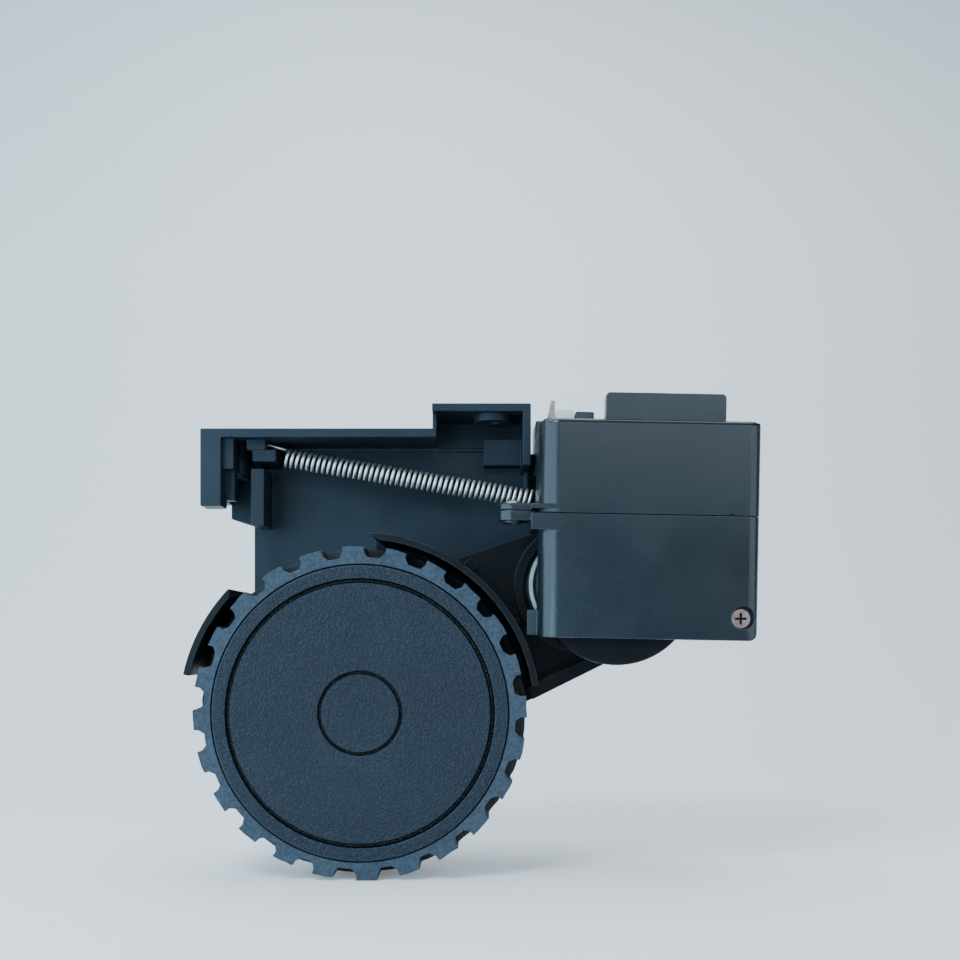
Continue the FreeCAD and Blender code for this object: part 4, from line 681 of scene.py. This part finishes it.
def makeTyre(look):
    tyre = softened("tyre", "tyreTread", look["round"], look["sharpest"])
    axis = spot(module["wheel"][0], look["middle"], module["wheel"][1])
    noise.seed_set(look["seed"])  # without it the noise starts elsewhere at each run
    for corner in tyre.data.vertices:
        out = Vector((corner.co.x - axis.x, 0, corner.co.z - axis.z))
        if out.length < look["seat"] / 1000:
            continue
        where = corner.co * 1000
        drift = (noise.noise_vector(where * look["coarse"])
                 + noise.noise_vector(where * look["fine"]) * look["fineShare"])
        inward = out.normalized() * -abs(drift.x)
        sideways = Vector((-out.z, 0, out.x)).normalized() * drift.z
        corner.co += (inward + sideways * look["sideShare"]) * look["wear"] / 1000
    return dress(tyre, "tyreRubber")


tyre = makeTyre(tyreLook)
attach(tyre, "wheel")
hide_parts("tyre")
print("tyre worn")

# Wheel cap: a turned face with its two grooves

capLook = {"radius": 31.0, "thick": 2.0, "edge": 0.5, "skirt": 25.9, "skirtWall": 1.4, "depth": 6.0,
           "steps": 240,  # and each groove's radius, width, depth and outer corner
           "grooves": ((8.5, 0.85, 0.8, 0.15), (27.7, 1.1, 1.0, 0.3))}


def makeCap(look):
    points = [(0, 0, 0)]
    for radius, wide, deep, outerCorner in look["grooves"]:
        points += [(radius - wide / 2, 0, 0.2), (radius - wide / 4, deep, 0.1),
                   (radius + wide / 6, deep, 0.1), (radius + wide / 2, 0, outerCorner)]
    inner = look["skirt"] - look["skirtWall"]
    points += [(look["radius"], 0, look["edge"]), (look["radius"], look["thick"], 0.1),
               (look["skirt"], look["thick"], 0.1), (look["skirt"], look["depth"], 0.1),
               (inner, look["depth"], 0.1), (inner, look["thick"], 0.2), (0, look["thick"], 0)]
    cap = lathe("wheelCapFace", roundedProfile(points), module["wheel"], look["steps"])
    return dress(smoothShade(cap, 40), "capPlastic")


cap = makeCap(capLook)
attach(cap, "wheel")
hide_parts("wheel_cap")
print("wheel cap made")

# Tension spring: drawn wire with a hook at each end

springLook = {"start": (-43.3, 41.5), "end": (14.0, 32.0), "level": 28.0, "radius": 1.9, "wire": 0.36,
              "turns": 47, "runs": 26, "gap": 0.12,
              "pin": (-48.3, 43.7, 0.6), "post": (17.2, 31.1, 1.5),  # across, up, radius
              "stretchFrom": -10.0, "stretchTo": 16.0}


def hookPoints(tip, centre, radius, way):  # from the coil's end round the pin, two thirds of a turn
    away = Vector((tip[0] - centre[0], tip[2] - centre[1]))
    first = math.atan2(away.y, away.x) + way * math.acos(radius / away.length)
    turns = [first + way * math.radians(angle) for angle in range(0, 241, 10)]
    return [(centre[0] + radius * math.cos(turn), tip[1], centre[1] + radius * math.sin(turn))
            for turn in turns]


def makeSpring(look):
    start = Vector((look["start"][0], look["level"], look["start"][1]))
    end = Vector((look["end"][0], look["level"], look["end"][1]))
    up = Vector((0, 1, 0)).cross(end - start).normalized()
    up = up if up.z > 0 else -up
    coil, total = [], look["turns"] * look["runs"]
    for step in range(total + 1):
        turn = 2 * math.pi * step / look["runs"]
        place = start.lerp(end, step / total)
        coil.append(place + (up * math.cos(turn) + Vector((0, 1, 0)) * math.sin(turn)) * look["radius"])
    reach, level = look["wire"] + look["gap"], look["level"]
    left = hookPoints((coil[0].x, level, coil[0].z), look["pin"][:2], look["pin"][2] + reach, 1)
    right = hookPoints((coil[-1].x, level, coil[-1].z), look["post"][:2], look["post"][2] + reach, -1)
    route = [*reversed(left), *[tuple(point) for point in coil], *right]
    curve = bpy.data.curves.new("springWire", "CURVE")
    curve.dimensions = "3D"
    curve.bevel_depth = look["wire"] / 1000
    curve.bevel_resolution = 3
    curve.use_fill_caps = True
    wire = curve.splines.new("POLY")
    wire.points.add(len(route) - 1)
    for point, place in zip(wire.points, route):
        point.co = (*spot(*place), 1.0)
    holder = bpy.data.objects.new("springWire", curve)
    bpy.context.scene.collection.objects.link(holder)
    bpy.context.view_layer.update()
    mesh = bpy.data.meshes.new_from_object(holder.evaluated_get(bpy.context.evaluated_depsgraph_get()))
    bpy.data.objects.remove(holder)
    spring = bpy.data.objects.new("tensionSpring", mesh)
    bpy.context.scene.collection.objects.link(spring)
    mesh.polygons.foreach_set("use_smooth", [True] * len(mesh.polygons))
    return dress(spring, "springSteel")


spring = makeSpring(springLook)
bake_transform(spring)
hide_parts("spring")
print("spring made")
